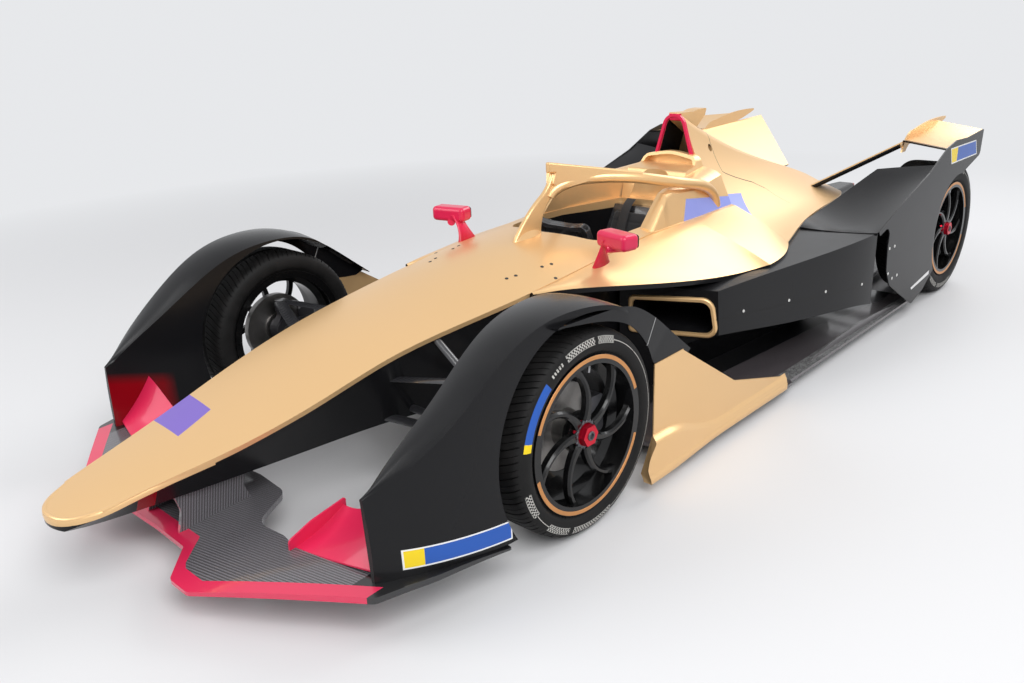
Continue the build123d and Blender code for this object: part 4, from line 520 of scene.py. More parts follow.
def tyre_rubber(name, axle, outer):
    """Rubber: a grey-black wall with ribs, light chequered arcs and a blank patch. The prints lie
    where the distance from the car's middle plane is over outer."""
    g = material(name)
    ring = g.call(RING_PLACE, Place=g.place, Centre=(axle[0], 0.0, axle[1]))
    radius, angle = ring["Radius"], ring["Angle"]
    on_wall = abs(g.split(g.place)[1]) > outer
    shift = (axle[1] - FRONT_AXLE[1]) * 0.6
    low, high = 0.283 + shift, 0.299 + shift
    row = g.math("FLOOR", (radius - low) * (3 / (high - low)))
    checks = (row + g.math("FLOOR", angle / 1.15)) % 2.0 < 0.5
    arcs = angle.between(69, 94)
    for span in ((97, 112), (-32, -15), (-68, -47), (-108, -72)):
        arcs = arcs | angle.between(*span)
    edge = radius.between(low - 0.0024, low - 0.0008) | radius.between(high + 0.0008, high + 0.0024)
    line_arcs = (angle > 112) | (angle < -108) | angle.between(-47, -32)
    ring_line = radius.between(0.2890 + shift, 0.2912 + shift) & line_arcs
    dashes = radius.between(low + 0.003, high - 0.003) & angle.between(54, 66) & (angle % 2.2 < 1.2)
    marks = (radius.between(low, high) & checks) | edge
    worn = g.span(g.noise(g.place, 180.0, 3.0), 0.30, 0.45)
    light = ((marks & arcs) | ring_line | dashes) & on_wall & worn
    patch = radius.between(0.270 + shift, 0.298 + shift) & angle.between(11, 50) & on_wall
    scuff = g.noise(g.place, 14.0, 4.0, 0.6)
    rubber = g.mix(g.span(scuff, 0.35, 0.75), (0.005, 0.005, 0.005, 1), (0.013, 0.012, 0.012, 1))
    colour = g.mix(patch, g.mix(light, rubber, (0.50, 0.49, 0.46, 1)), BLUE)
    colour = g.mix(patch & (angle < 16), colour, YELLOW)
    ribs = g.math("SINE", radius * (2 * math.pi / 0.0035))
    ribs = ribs * (on_wall & radius.between(0.252, low - 0.004))
    g.bump(g.math("MULTIPLY_ADD", ribs, 0.25, g.noise(g.place, 420.0, 3.0, 0.6)), 0.35, 0.0008)
    roughness = g.span(scuff, 0.3, 0.7, 0.58, 0.72)
    g.shade(Base_Color=colour, Roughness=roughness, Specular_IOR_Level=0.2)


def smeared(name, scale, colours, span, rough, detail=4.0, roughness=0.6, **constants):
    """A smooth surface whose colour and roughness follow smears of a noise."""
    g = material(name)
    smear = g.noise(g.place, scale, detail, roughness)
    g.shade(Base_Color=g.mix(smear, *colours), Roughness=g.span(smear, *span, *rough), **constants)


def turned_metal(name, axle):
    """Disc metal with fine rings round an axle, and a few heat-dark patches."""
    g = material(name)
    ring = g.call(RING_PLACE, Place=g.place, Centre=(axle[0], 0.0, axle[1]))
    patch = g.noise(g.place, 30.0, 4.0, 0.6)
    g.bump(g.math("SINE", ring["Radius"] * (2 * math.pi / 0.0012)), 0.15, 0.0002)
    colour = g.scaled((0.30, 0.29, 0.28), g.sway(patch, 0.5))
    g.shade(Base_Color=colour, Roughness=g.math("MULTIPLY_ADD", patch, 0.2, 0.28), Metallic=1.0)


def cast_metal(name, colour, roughness, metallic):
    """Anodised or painted metal with a fine matt grain."""
    g = material(name)
    patch = g.noise(g.place, 18.0, 4.0, 0.6)
    rough = g.math("MULTIPLY_ADD", patch, 0.25, roughness - 0.12)
    g.bump(g.noise(g.place, 700.0), 0.1, 0.0004)
    g.shade(Base_Color=g.scaled(colour, g.sway(patch, 0.35)), Roughness=rough, Metallic=metallic)


def cloth(name, colour, thread, roughness):
    """Woven cover; the weave reads the piece's own UV map, in metres."""
    g = material(name)
    flat = Value(g, g.add("ShaderNodeUVMap", uv_map="cloth").outputs[0])
    weave = g.call(CLOTH_WEAVE, Place=flat, Thread=thread, Colour=colour)
    g.bump(weave["Height"], 0.4, 0.0004)
    g.shade(Base_Color=weave["Colour"], Roughness=roughness, Sheen_Weight=0.25)


def rain_light_lens():
    """Red lens with rows of small cells."""
    g = material("rain_light_lens")
    _, u, v = g.split(g.scaled(g.place, 2 * math.pi / 0.009))
    cells = g.math("SINE", u) * g.math("SINE", v)
    colour = g.mix(cells > 0.15, (0.16, 0.002, 0.002, 1), (0.55, 0.01, 0.01, 1))
    g.bump(cells, 0.4, 0.0008)
    g.shade(Base_Color=colour, Roughness=0.12, Coat_Weight=1.0)


for describe in (
    body_paint, deck_paint, surround_paint, cover_paint, fender_paint, fender_tail_paint,
    flank_paint, guard_paint, rear_wing_paint, hoop_paint, mirror_paint, flap_paint,
):
    graph = material(describe.__name__)
    describe(graph, *graph.split(graph.place))
for name, colour, roughness, metallic in (
    ("gold_paint", GOLD, GOLD_ROUGHNESS, GOLD_METALLIC),
    ("black_paint", BLACK, BLACK_ROUGHNESS, 0.0),
    ("grip_rubber", (0.012, 0.012, 0.012, 1), 0.7, 0.0),
    ("white_head", (0.60, 0.60, 0.58, 1), 0.35, 0.0),
    ("pink_cap", PINK, 0.35, 0.0),
    ("yellow_cap", YELLOW, 0.35, 0.0),
    ("blue_cap", BLUE, 0.35, 0.0),
):
    finish_paint(material(name), colour, roughness, metallic=metallic)
cast_metal("dark_metal", (0.10, 0.10, 0.11), 0.42, 0.8)
cast_metal("red_metal", (0.62, 0.006, 0.03), 0.30, 0.7)
cast_metal("bronze_metal", (0.60, 0.27, 0.09), 0.36, 0.6)
cast_metal("buckle_metal", (0.35, 0.35, 0.36), 0.35, 1.0)
cast_metal("dark_head", (0.06, 0.055, 0.05), 0.4, 0.8)
carbon("carbon_plain", 0.785, 0.005, (0.05, 0.05, 0.055, 1))
carbon("carbon_wing", 0.60, 0.0030, (0.24, 0.23, 0.25, 1), band=wing_bands)
carbon("carbon_floor", 0.785, 0.004, (0.16, 0.14, 0.15, 1), band=floor_bands)
carbon("carbon_arms", 0.785, 0.003, (0.045, 0.045, 0.05, 1))
smeared("rim_lacquer", 60.0, ((0.002, 0.002, 0.002, 1), (0.006, 0.006, 0.0065, 1)), (0.3, 0.7),
        (0.16, 0.26), roughness=0.7, Specular_IOR_Level=0.25, Coat_Weight=0.25, Coat_Roughness=0.05)
smeared("screen_glass", 40.0, ((0.006, 0.008, 0.010, 1), (0.0096, 0.0128, 0.016, 1)), (0.3, 0.7),
        (0.06, 0.12), detail=3.0, roughness=0.5, Coat_Weight=1.0)
smeared("mirror_glass", 60.0, ((0.72, 0.74, 0.76, 1), (0.82, 0.84, 0.86, 1)), (0.4, 0.8),
        (0.02, 0.07), Metallic=1.0)
cloth("pad_cloth", (0.016, 0.016, 0.018, 1), 0.0016, 0.85)
cloth("harness_webbing", (0.012, 0.012, 0.014, 1), 0.0030, 0.7)
rain_light_lens()
for end, axle, wall in (("front", FRONT_AXLE, 0.80), ("rear", REAR_AXLE, 0.77)):
    tyre_rubber("tyre_rubber_" + end, axle, wall)
    turned_metal("disc_" + end, axle)

LOOKS = {
    "body_paint": "nose_cone monocoque", "deck_paint": "cockpit_deck",
    "surround_paint": "head_surround", "cover_paint": "engine_cover", "hoop_paint": "roll_hoop",
    "fender_paint": "fender_left fender_right", "flank_paint": "sidepod_left sidepod_right",
    "guard_paint": "rear_guard_left rear_guard_right", "rear_wing_paint": "rear_wings",
    "mirror_paint": "mirrors", "flap_paint": "front_wing_flaps", "gold_paint": "halo side_plates",
    "black_paint": "drive_unit", "rain_light_lens": "rain_light", "carbon_wing": "front_wing",
    "carbon_floor": "floor", "carbon_plain": "diffuser seat steering_wheel",
    "carbon_arms": "front_suspension rear_suspension",
    "dark_metal": "steering_column battery_pack rear_uprights steering_rack knuckle_left "
                  "knuckle_right",
}
LOOK_OF = {label: look for look, labels in LOOKS.items() for label in labels.split()}
for corner in CORNERS:
    end = corner.split("_")[0]
    LOOK_OF |= {"tyre_" + corner: "tyre_rubber_" + end, "hub_" + corner: "disc_" + end}
    LOOK_OF |= {"rim_" + corner: "rim_lacquer", "nut_" + corner: "red_metal"}
for label, node in NODES.items():
    node.data.materials.clear()
    node.data.materials.append(MADE[LOOK_OF[label]])


def add_object(name, data):
    made = bpy.data.objects.new(name, data)
    bpy.context.scene.collection.objects.link(made)
    return made


def finish_mesh(name, points, look, body="chassis", faces=None, sharp=35, flat=None):
    """A piece from rows of points, with faces where they aren't one grid; its normals point
    outwards and edges over sharp degrees stay crisp. flat gives each point's place on the cloth,
    in metres."""
    mesh = bpy.data.meshes.new(name)
    mesh.from_pydata(points.reshape(-1, 3).tolist(), [], faces or grid_faces(*points.shape[:2]))
    if flat is not None:
        corner_points = np.empty(len(mesh.loops), dtype=np.int32)
        mesh.loops.foreach_get("vertex_index", corner_points)
        layer = mesh.uv_layers.new(name="cloth").data
        layer.foreach_set("uv", flat.reshape(-1, 2)[corner_points].ravel())
    shell = bmesh.new()
    shell.from_mesh(mesh)
    bmesh.ops.recalc_face_normals(shell, faces=shell.faces)
    shell.to_mesh(mesh)
    shell.free()
    mesh.polygons.foreach_set("use_smooth", np.ones(len(mesh.polygons), dtype=bool))
    mesh.set_sharp_from_angle(angle=math.radians(sharp))
    mesh.materials.append(MADE[look])
    piece = add_object(name, mesh)
    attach(piece, body)
    return piece


def grid_faces(rows, columns, along=False, start=0):
    """Faces of a grid whose last column joins the first. along joins the last row to the first, and
    otherwise the first and last rows are closed."""
    index = start + np.arange(rows * columns).reshape(rows, columns)
    wrapped = np.concatenate([index, index[:, :1]], axis=1)
    if along:
        wrapped = np.concatenate([wrapped, wrapped[:1]], axis=0)
    corners = [wrapped[:-1, :-1], wrapped[:-1, 1:], wrapped[1:, 1:], wrapped[1:, :-1]]
    faces = np.stack(corners, axis=-1).reshape(-1, 4).tolist()
    return faces if along else faces + [index[0].tolist(), index[-1].tolist()]


def circle(count):
    """Angles of a full turn, the last left out."""
    return np.linspace(0, 2 * math.pi, count + 1)[:-1]


def signed_power(values, power):
    return np.sign(values) * np.abs(values) ** power


def smooth_line(points, count):
    """A cubic B-spline through the middle of its control points: each point is a weighted mean of
    four neighbours, with weights (1-t)^3, 3t^3-6t^2+4, -3t^3+3t^2+3t+1 and t^3, all over 6."""
    points = np.asarray(points, dtype=float)
    ends = 2 * points[:1] - points[1:2], 2 * points[-1:] - points[-2:-1]
    padded = np.concatenate([ends[0], points, ends[1]])
    place = np.linspace(0, len(points) - 1 - 1e-9, count)
    first = place.astype(int)
    t = (place - first)[:, None]
    weights = (1 - t) ** 3, 3 * t**3 - 6 * t**2 + 4, -3 * t**3 + 3 * t**2 + 3 * t + 1, t**3
    return sum(weight * padded[first + step] for step, weight in enumerate(weights)) / 6


def framed(line, side=(0.0, 1.0, 0.0)):
    """Unit directions across a line (towards side) and out of it, one row per point."""
    ahead = np.gradient(line, axis=0)
    ahead /= np.linalg.norm(ahead, axis=1, keepdims=True)
    out = np.cross(ahead, np.asarray(side, dtype=float))
    out /= np.linalg.norm(out, axis=1, keepdims=True)
    return np.cross(out, ahead), out


def swept(line, first, across, second, out):
    """Points line + first across + second out, one row of them for each point of the line."""
    return line[:, None] + first[..., None] * across[:, None] + second[..., None] * out[:, None]


def turned(line, radii, first, second, columns):
    """Circles of those radii round the points of a line, in the plane of first and second."""
    angles, radii = circle(columns), np.asarray(radii)[:, None]
    return swept(line, radii * np.cos(angles), first[None], radii * np.sin(angles), second[None])


def ring_points(axle, radius, y, angles):
    """Points at a radius and y round an axle: (x, z) = centre + radius (cos a, sin a)."""
    x, z = axle[0] + radius * np.cos(angles), axle[1] + radius * np.sin(angles)
    return np.stack(np.broadcast_arrays(x, y, z), axis=-1)


def side_points(rows):
    """Points from rows of (line of x and z, y), one column for each row."""
    columns = [np.stack([line[:, 0], y + 0 * line[:, 0], line[:, 1]], axis=-1) for line, y in rows]
    return np.stack(columns, axis=1)


def faces_of(label):
    """The distances of a wheel piece's inner and outer face from the car's middle plane."""
    low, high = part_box(label)
    return sorted((abs(low[1]), abs(high[1])))


TREAD_PITCHES = 46
GROOVE_DEPTH = 0.0055
TREAD_LEAN = 0.13
IN_PITCH = (
    (0.0, 0.0), (0.012, 0.0), (0.030, 1.0), (0.105, 1.0), (0.123, 0.0), (0.40, 0.0),
    (0.512, 0.0), (0.524, 0.6), (0.560, 0.6), (0.572, 0.0), (0.80, 0.0),
)


def tyre(corner):
    """A tyre: its half section, a spline from bead to crown, carried round the axle.
    Columns lean back across the tread by TREAD_LEAN s^1.6 rad, s being the distance from the
    crown's middle as a share, and a column's radius drops by the groove's depth where its share of
    a pitch lies inside a groove, faded out at the crown's middle rib and at the shoulders."""
    axle, side = CORNERS[corner]
    low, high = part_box("tyre_" + corner)
    radius = (high[2] - low[2]) / 2 - 0.0005
    middle, half = abs(low[1] + high[1]) / 2, (high[1] - low[1]) / 2 - 0.0004
    shoulder = smooth_line(
        (
            (half - 0.0165, 0.2290), (half - 0.0165, 0.2490), (half - 0.0105, 0.2535),
            (half - 0.003, 0.2600), (half, 0.2760), (half - 0.002, radius - 0.026),
            (half - 0.012, radius - 0.0075), (half - 0.034, radius - 0.0012),
            (half - 0.060, radius),
        ),
        40,
    )
    flat = np.linspace((half - 0.063, radius), (0.0, radius), 12)
    half_section = np.concatenate([shoulder, flat])
    section = np.concatenate([half_section, half_section[::-1][1:] * (-1, 1)])
    share = np.abs(section[:, :1]) / half
    in_pitch, sunk = np.array(IN_PITCH).T
    angles = 2 * math.pi * ((np.arange(TREAD_PITCHES)[:, None] + in_pitch) / TREAD_PITCHES).ravel()
    fade = np.clip((share - 0.10) / 0.05, 0, 1) * np.clip((0.93 - share) / 0.10, 0, 1)
    grooves = GROOVE_DEPTH * np.tile(sunk, TREAD_PITCHES) * fade
    middle_groove = GROOVE_DEPTH * np.clip(1 - np.abs(share - 0.055) / 0.02, 0, 1)
    radii = section[:, 1:] - np.maximum(grooves, middle_groove)
    leaning = angles + TREAD_LEAN * share**1.6 * side
    points = ring_points(axle, radii, side * (middle + section[:, :1]), leaning)
    look = "tyre_rubber_" + corner.split("_")[0]
    faces, body = grid_faces(*radii.shape, along=True), "wheel_" + corner
    piece = finish_mesh("tread_" + corner, points, look, body, faces)
    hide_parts("tyre_" + corner)


BAND_SECTION = np.array([(0.2318, -0.0005), (0.2330, 0.0008), (0.2440, 0.0008), (0.2455, -0.0005)])
BAND_ARCS = ((21.0, 161.5), (198.5, 346.5))
BAND_STEP = 2.5


def rim_band(corner):
    """A bronze band on the rim's outer flange: a low rounded section carried along two arcs."""
    axle, side = CORNERS[corner]
    radius, lift = BAND_SECTION.T
    y = side * (faces_of("rim_" + corner)[1] + lift)
    points, faces = [], []
    for start, end in BAND_ARCS:
        angles = np.radians(np.linspace(start, end, int((end - start) / BAND_STEP) + 2))[:, None]
        if side < 0:
            angles = math.pi - angles
        faces += grid_faces(len(angles), len(radius), start=len(radius) * sum(map(len, points)))
        points.append(ring_points(axle, radius, y, angles))
    points, body = np.concatenate(points), "wheel_" + corner
    finish_mesh("rim_band_" + corner, points, "bronze_metal", body, faces)


VALVE = np.array(
    [(0.0, 0.0065), (0.004, 0.0065), (0.005, 0.0042), (0.018, 0.0042), (0.019, 0.0052),
     (0.034, 0.0052), (0.036, 0.0030)]
)
VALVE_ANGLE = math.radians(100)


def valve(corner):
    """A valve stem between two spokes: a stepped profile turned round a line to the axle."""
    axle, side = CORNERS[corner]
    down = -np.array([math.cos(VALVE_ANGLE), 0, math.sin(VALVE_ANGLE)])
    first = np.array([0.0, 1.0, 0.0])
    foot = ring_points(axle, 0.2195, side * (faces_of("rim_" + corner)[1] - 0.030), VALVE_ANGLE)
    points = turned(foot + VALVE[:, :1] * down, VALVE[:, 1], first, np.cross(down, first), 12)
    finish_mesh("valve_" + corner, points, "buckle_metal", "wheel_" + corner)


COLLAR = np.array(
    [(0.036, 0.0), (0.0445, 0.0), (0.0445, 0.005), (0.041, 0.0075), (0.036, 0.0075)]
)
NUT_CORE = np.array(
    [(0.0, 0.0165), (0.010, 0.0165), (0.012, 0.0150), (0.022, 0.0150), (0.0235, 0.0135),
     (0.0235, 0.0090), (0.0180, 0.0080), (0.0180, 0.0010)]
)


def nut_pieces(corner):
    """Round the centre nut a dark ring with 18 drive teeth, its outer radii grown by
    0.0022 cos(18 a), doubled and cut off at one tooth's height; in the nut the hub's dark end,
    steps turned round the axle and closed by a face."""
    axle, side = CORNERS[corner]
    inner, outer = faces_of("nut_" + corner)
    teeth = 0.0022 * np.clip(2.0 * np.cos(18 * circle(144)), -1, 1)
    toothed = COLLAR[:, :1] + np.where(COLLAR[:, :1] > 0.037, teeth, 0.0)
    for name, radius, depth, count, faces in (
        ("nut_ring_", toothed, inner + 0.010 + COLLAR[:, 1:], 144, grid_faces(5, 144, along=True)),
        ("nut_core_", NUT_CORE[:, 1:], outer - 0.020 + NUT_CORE[:, :1], 32, None),
    ):
        points = ring_points(axle, radius, side * depth, circle(count))
        finish_mesh(name + corner, points, "dark_metal", "wheel_" + corner, faces)


HEAD_SHARES = np.array([1.0, 1.0, 0.86, 0.5, 0.12])
HEAD_LIFTS = np.array([-0.25, 0.10, 0.24, 0.30, 0.32])


def heads(name, node, places, radius, look):
    """Low fastener heads on a panel: one dome profile, set at each place's nearest point of the
    panel and turned to its normal there."""
    points, faces = [], []
    for place in places:
        _, spot, normal, _ = NODES[node].closest_point_on_mesh(Vector(place))
        spot, normal = np.array(spot), np.array(normal)
        first = np.cross((0.0, 0.0, 1.0) if abs(normal[2]) < 0.9 else (1.0, 0.0, 0.0), normal)
        first /= np.linalg.norm(first)
        line = spot + radius * HEAD_LIFTS[:, None] * normal
        faces += grid_faces(5, 10, start=50 * len(points))
        points.append(turned(line, radius * HEAD_SHARES, first, np.cross(normal, first), 10))
    finish_mesh(name, np.concatenate(points), look, faces=faces)


def run_length(line):
    """Length along a line from its start, for each point, as a column."""
    steps = np.linalg.norm(np.diff(line, axis=0), axis=1)
    return np.concatenate([[0], np.cumsum(steps)])[:, None]


PAD_HALF_WIDTH = 0.150
SEWN_DEPTH = 0.34


def pad(name, line, thickness):
    """A stuffed pad along a line in the car's middle plane: a section ((cos t)^0.4, (sin t)^0.72)
    with the signs kept, thinned to nothing at both ends by (1 - s^8)^0.5 and pressed in at three
    sewn channels."""
    centre = smooth_line(line, 72)
    across, out = framed(centre)
    s = np.linspace(-1, 1, len(centre))[:, None]
    ends = np.sqrt(np.clip(1 - s**8, 0.0, 1)) * 0.96 + 0.04
    sewn = 1 - SEWN_DEPTH * np.exp(-(((s * 2 % 1.0 - 0.5) / 0.035) ** 2))
    angles = circle(56)
    beside = PAD_HALF_WIDTH * (0.93 + 0.07 * ends) * signed_power(np.cos(angles), 0.4)
    raised = thickness / 2 * (ends * sewn) * signed_power(np.sin(angles), 0.72)
    points = swept(centre, beside, across, raised, out)
    flat = np.stack(np.broadcast_arrays(run_length(centre), beside), axis=-1)
    piece = finish_mesh(name, points, "pad_cloth", sharp=80, flat=flat)


WEB_SECTION = np.array(
    [(-1, 0), (-0.96, 0.7), (-0.8, 1), (0.8, 1), (0.96, 0.7), (1, 0), (0.96, -0.7), (0.8, -1),
     (-0.8, -1), (-0.96, -0.7)]
)
WEB_THICKNESS = 0.0022


def strap(name, line, width, side=(0.0, 1.0, 0.0)):
    """Webbing laid along a line: a flat band with rounded edges, thinner at its hems."""
    centre = smooth_line(line, 64)
    across, out = framed(centre, side)
    beside, raised = (WEB_SECTION * (width / 2, WEB_THICKNESS / 2)).T[:, None]
    length = run_length(centre)
    flat = np.stack(np.broadcast_arrays(length, beside), axis=-1)
    points = swept(centre, beside, across, raised, out)
    piece = finish_mesh(name, points, "harness_webbing", flat=flat)


def rounded_block(name, centre, size, axes, look, body="chassis", power=6.0):
    """A block with soft edges: rows of superellipses |u|^p + |v|^p = 1, drawn in towards both faces
    by (1 - h^p)^(1/p), with its own three axes."""
    axes = np.asarray(axes, dtype=float)
    axes = axes / np.linalg.norm(axes, axis=1, keepdims=True)
    h = np.sin(np.linspace(-math.pi / 2, math.pi / 2, 14))[:, None]
    scale = np.maximum(np.clip(1 - np.abs(h) ** power, 0.0, 1) ** (1 / power), 0.02)
    angles = circle(40)
    u = size[0] / 2 * scale * signed_power(np.cos(angles), 2 / power)
    v = size[1] / 2 * scale * signed_power(np.sin(angles), 2 / power)
    line = np.asarray(centre, dtype=float) + size[2] / 2 * h * axes[2]
    finish_mesh(name, swept(line, u, axes[:1], v, axes[1:2]), look, body, sharp=60)


def cockpit():
    """Seat pads, harness and buckle."""
    back = (-0.142, 0, 0.610), (-0.095, 0, 0.500), (-0.045, 0, 0.380), (0.005, 0, 0.265)
    pad("seat_back_pad", back, 0.026)
    base = (
        (0.070, 0, 0.196), (0.190, 0, 0.187), (0.310, 0, 0.186), (0.420, 0, 0.212),
        (0.500, 0, 0.244),
    )
    pad("seat_base_pad", base, 0.024)
    for name, side in SIDES[::-1]:
        shoulder = (
            (-0.172, 0.075 * side, 0.668), (-0.128, 0.076 * side, 0.640),
            (-0.098, 0.080 * side, 0.560), (-0.040, 0.074 * side, 0.430),
            (0.020, 0.052 * side, 0.305), (0.078, 0.022 * side, 0.236),
        )
        strap("shoulder_strap_" + name, shoulder, 0.050)
        lap = (
            (0.020, 0.180 * side, 0.300), (0.060, 0.150 * side, 0.262),
            (0.088, 0.090 * side, 0.240), (0.098, 0.024 * side, 0.232),
        )
        strap("lap_strap_" + name, lap, 0.044, side=(1.0, 0.0, 0.6))
    crotch = (0.262, 0, 0.202), (0.205, 0, 0.208), (0.150, 0, 0.214), (0.108, 0, 0.228)
    strap("crotch_strap", crotch, 0.044)
    axes = (0, 1, 0), (0.92, 0, -0.38), (0.38, 0, 0.92)
    rounded_block("harness_buckle", (0.094, 0, 0.240), (0.070, 0.070, 0.016), axes, "buckle_metal",
                  power=3.0)


STEERING_CENTRE = np.array([0.415, 0.0, 0.628])
STEERING_TILT = math.radians(22)
STEERING_OUT = np.array([-math.cos(STEERING_TILT), 0.0, math.sin(STEERING_TILT)])
STEERING_ACROSS = np.array([0.0, -1.0, 0.0])
STEERING_UP = np.cross(STEERING_OUT, STEERING_ACROSS)
GRIP_LINE = ((0.121, 0.054), (0.123, 0.020), (0.122, -0.016), (0.108, -0.052))
GRIP_HALF_SIZES = (0.0185, 0.0145)
SWITCHES = (
    (-0.076, 0.038, 0.0075), (0.076, 0.038, 0.0075), (-0.070, -0.040, 0.0085),
    (0.070, -0.040, 0.0085), (-0.034, -0.056, 0.0065), (0.034, -0.056, 0.0065),
    (0.0, -0.054, 0.0095),
)
SWITCH_PROFILE = np.array(
    [(1.0, 0.0), (1.0, 0.004), (0.80, 0.0065), (0.72, 0.0060), (0.30, 0.0058)]
)
SWITCH_LOOKS = ("pink_cap", "white_head", "yellow_cap", "blue_cap")


def on_steering(across, up, out):
    """A place given in the steering wheel's own directions."""
    return STEERING_CENTRE + across * STEERING_ACROSS + up * STEERING_UP + out * STEERING_OUT


def steering_controls():
    """Screen, grips, push buttons and rotary knobs on the driver's side of the steering wheel."""
    body = "steering_wheel"
    axes = STEERING_ACROSS, STEERING_UP, STEERING_OUT
    rounded_block("steering_screen", on_steering(0, 0, 0.0212), (0.094, 0.050, 0.0022), axes,
                  "screen_glass", body, power=12.0)
    angles = circle(24)
    s = np.linspace(-1, 1, 40)[:, None]
    thick = np.sqrt(np.clip(1 - s**10, 0.02, 1)) * (1 + 0.03 * np.sin(s * 34))
    wide, deep = (size * thick for size in GRIP_HALF_SIZES)
    for name, side in SIDES:
        centre = smooth_line([on_steering(-side * across, up, 0.0) for across, up in GRIP_LINE], 40)
        across, out = framed(centre, STEERING_OUT)
        points = swept(centre, wide * np.cos(angles), across, deep * np.sin(angles), out)
        finish_mesh("steering_grip_" + name, points, "grip_rubber", body, sharp=60)
    for number, (across, up, radius) in enumerate(SWITCHES):
        line = on_steering(across, up, 0.0145) + SWITCH_PROFILE[:, 1:] * STEERING_OUT
        radii = radius * SWITCH_PROFILE[:, 0]
        points = turned(line, radii, STEERING_ACROSS, STEERING_UP, 16)
        look = SWITCH_LOOKS[number % len(SWITCH_LOOKS)]
        finish_mesh(f"steering_switch_{number + 1}", points, look, body)


MIRROR_TURN = math.radians(-13)


def mirror_faces():
    """The glass of each mirror in a dark bezel, on the face that looks back at the driver."""
    for name, side in SIDES[::-1]:
        back = np.array([-math.cos(MIRROR_TURN), -math.sin(MIRROR_TURN) * side, 0.0])
        along = np.array([-math.sin(MIRROR_TURN), math.cos(MIRROR_TURN) * side, 0.0])
        for part, ahead, size, look in (
            ("mirror_bezel_", 0.0375, (0.150, 0.053, 0.006), "black_paint"),
            ("mirror_glass_", 0.0395, (0.142, 0.045, 0.004), "mirror_glass"),
        ):
            centre = np.array([0.640, 0.440 * side, 0.704]) + ahead * back
            axes = along, (0, 0, 1), back
            rounded_block(part + name, centre, size, axes, look, power=7.0)


BROW_LOW = np.array(
    [(0.868, 0.4400), (0.920, 0.420), (0.975, 0.398), (1.016, 0.382), (1.018, 0.330),
     (1.018, 0.200)]
)
BROW_TOP = np.array(
    [(0.866, 0.4445), (0.915, 0.4435), (0.965, 0.4425), (1.030, 0.4415), (1.031, 0.330),
     (1.031, 0.196)]
)
BROW_FACE, BROW_BACK = 0.8764, 0.8722


def plate_brow(name, side):
    """The side plate's level top and its front edge: a flat strip between two lines, 4 mm thick."""
    place = np.linspace(0, 5, 41)
    low, top = (
        np.stack([np.interp(place, range(6), line[:, k]) for k in (0, 1)], axis=-1)
        for line in (BROW_LOW, BROW_TOP)
    )
    rows = (
        (low, side * BROW_FACE), (0.5 * low + 0.5 * top, side * BROW_FACE),
        (top, side * (BROW_FACE - 0.0002)), (top, side * BROW_BACK), (low, side * BROW_BACK),
    )
    finish_mesh("side_plate_brow_" + name, side_points(rows), "gold_paint")


SKIRT_FRONT = np.array(
    [(0.045, 1.082), (0.060, 1.086), (0.105, 1.102), (0.130, 1.092), (0.150, 1.076), (0.170, 1.054),
     (0.200, 1.032), (0.260, 1.030)]
)
SKIRT_REAR = 0.108
SKIRT_FACE = 0.8745


def plate_skirt(name, side):
    """The rolled foot of a side plate: a section that leaves the plate's face in a hollow curve,
    swells to a shoulder and drops as a flat strip. With e = 3 r^2 - 2 r^3, r running from 0 at
    x = 0.58 to 1 at x = 1.02, it stands 12.5 + 19.5 e mm proud and its crease rises by 85 e mm."""
    along = np.linspace(0.0, 1.0, 64)[:, None]
    x = SKIRT_REAR + along * (1.075 - SKIRT_REAR)
    rise = np.clip((x - 0.58) / 0.44, 0, 1)
    rise = rise**2 * (3 - 2 * rise)
    crease = 0.088 + 0.085 * rise + 0.004 * np.clip(x - 0.6, 0, 1)
    proud = 0.0125 + 0.0195 * rise
    t = np.linspace(0, 1, 18)
    u = np.linspace(0, 1, 12)[1:]
    level = 0 * proud
    section_y = SKIRT_FACE + np.concatenate(
        [
            0.80 * proud * t**2 * (3 - 2 * t),
            0.80 * proud + 0.20 * proud * np.sin(u * math.pi / 2),
            proud + (0.0015, 0.0018, 0.0018, 0.0002),
            level + (0.0017, 0.0005, -0.0030),
        ],
        axis=1,
    )
    section_z = np.concatenate(
        [
            crease + 0.026 * (1 - t),
            crease - u * (crease - 0.074),
            level + (0.072, 0.060, 0.0475, 0.0455, 0.0455, 0.0610, 0.080),
        ],
        axis=1,
    )
    front = np.interp(section_z, SKIRT_FRONT[:, 0], SKIRT_FRONT[:, 1])
    x = SKIRT_REAR + along * (front - SKIRT_REAR)
    points = np.stack([x, side * section_y, section_z], axis=-1)
    finish_mesh("side_plate_skirt_" + name, points, "gold_paint", sharp=50)


TAIL_LOW = (
    (1.500, 0.692), (1.400, 0.679), (1.290, 0.660), (1.192, 0.627), (1.134, 0.585), (1.082, 0.532),
    (1.052, 0.484), (1.028, 0.428), (0.950, 0.415), (0.862, 0.408),
)
TAIL_TOP = (
    (1.500, 0.696), (1.400, 0.692), (1.290, 0.688), (1.190, 0.682), (1.110, 0.648), (1.031, 0.598),
    (0.975, 0.556), (0.920, 0.512), (0.870, 0.473), (0.818, 0.432),
)
TAIL_FACE, TAIL_THICKNESS, TAIL_FLANGE = 0.8835, 0.004, 0.050
TAIL_ROUND = (
    (0.0008, 0.0015), (0.0030, 0.0045), (0.0060, 0.010), (0.0075, 0.030), (0.0090, TAIL_FLANGE),
    (0.0130, TAIL_FLANGE), (0.0115, 0.012),
)


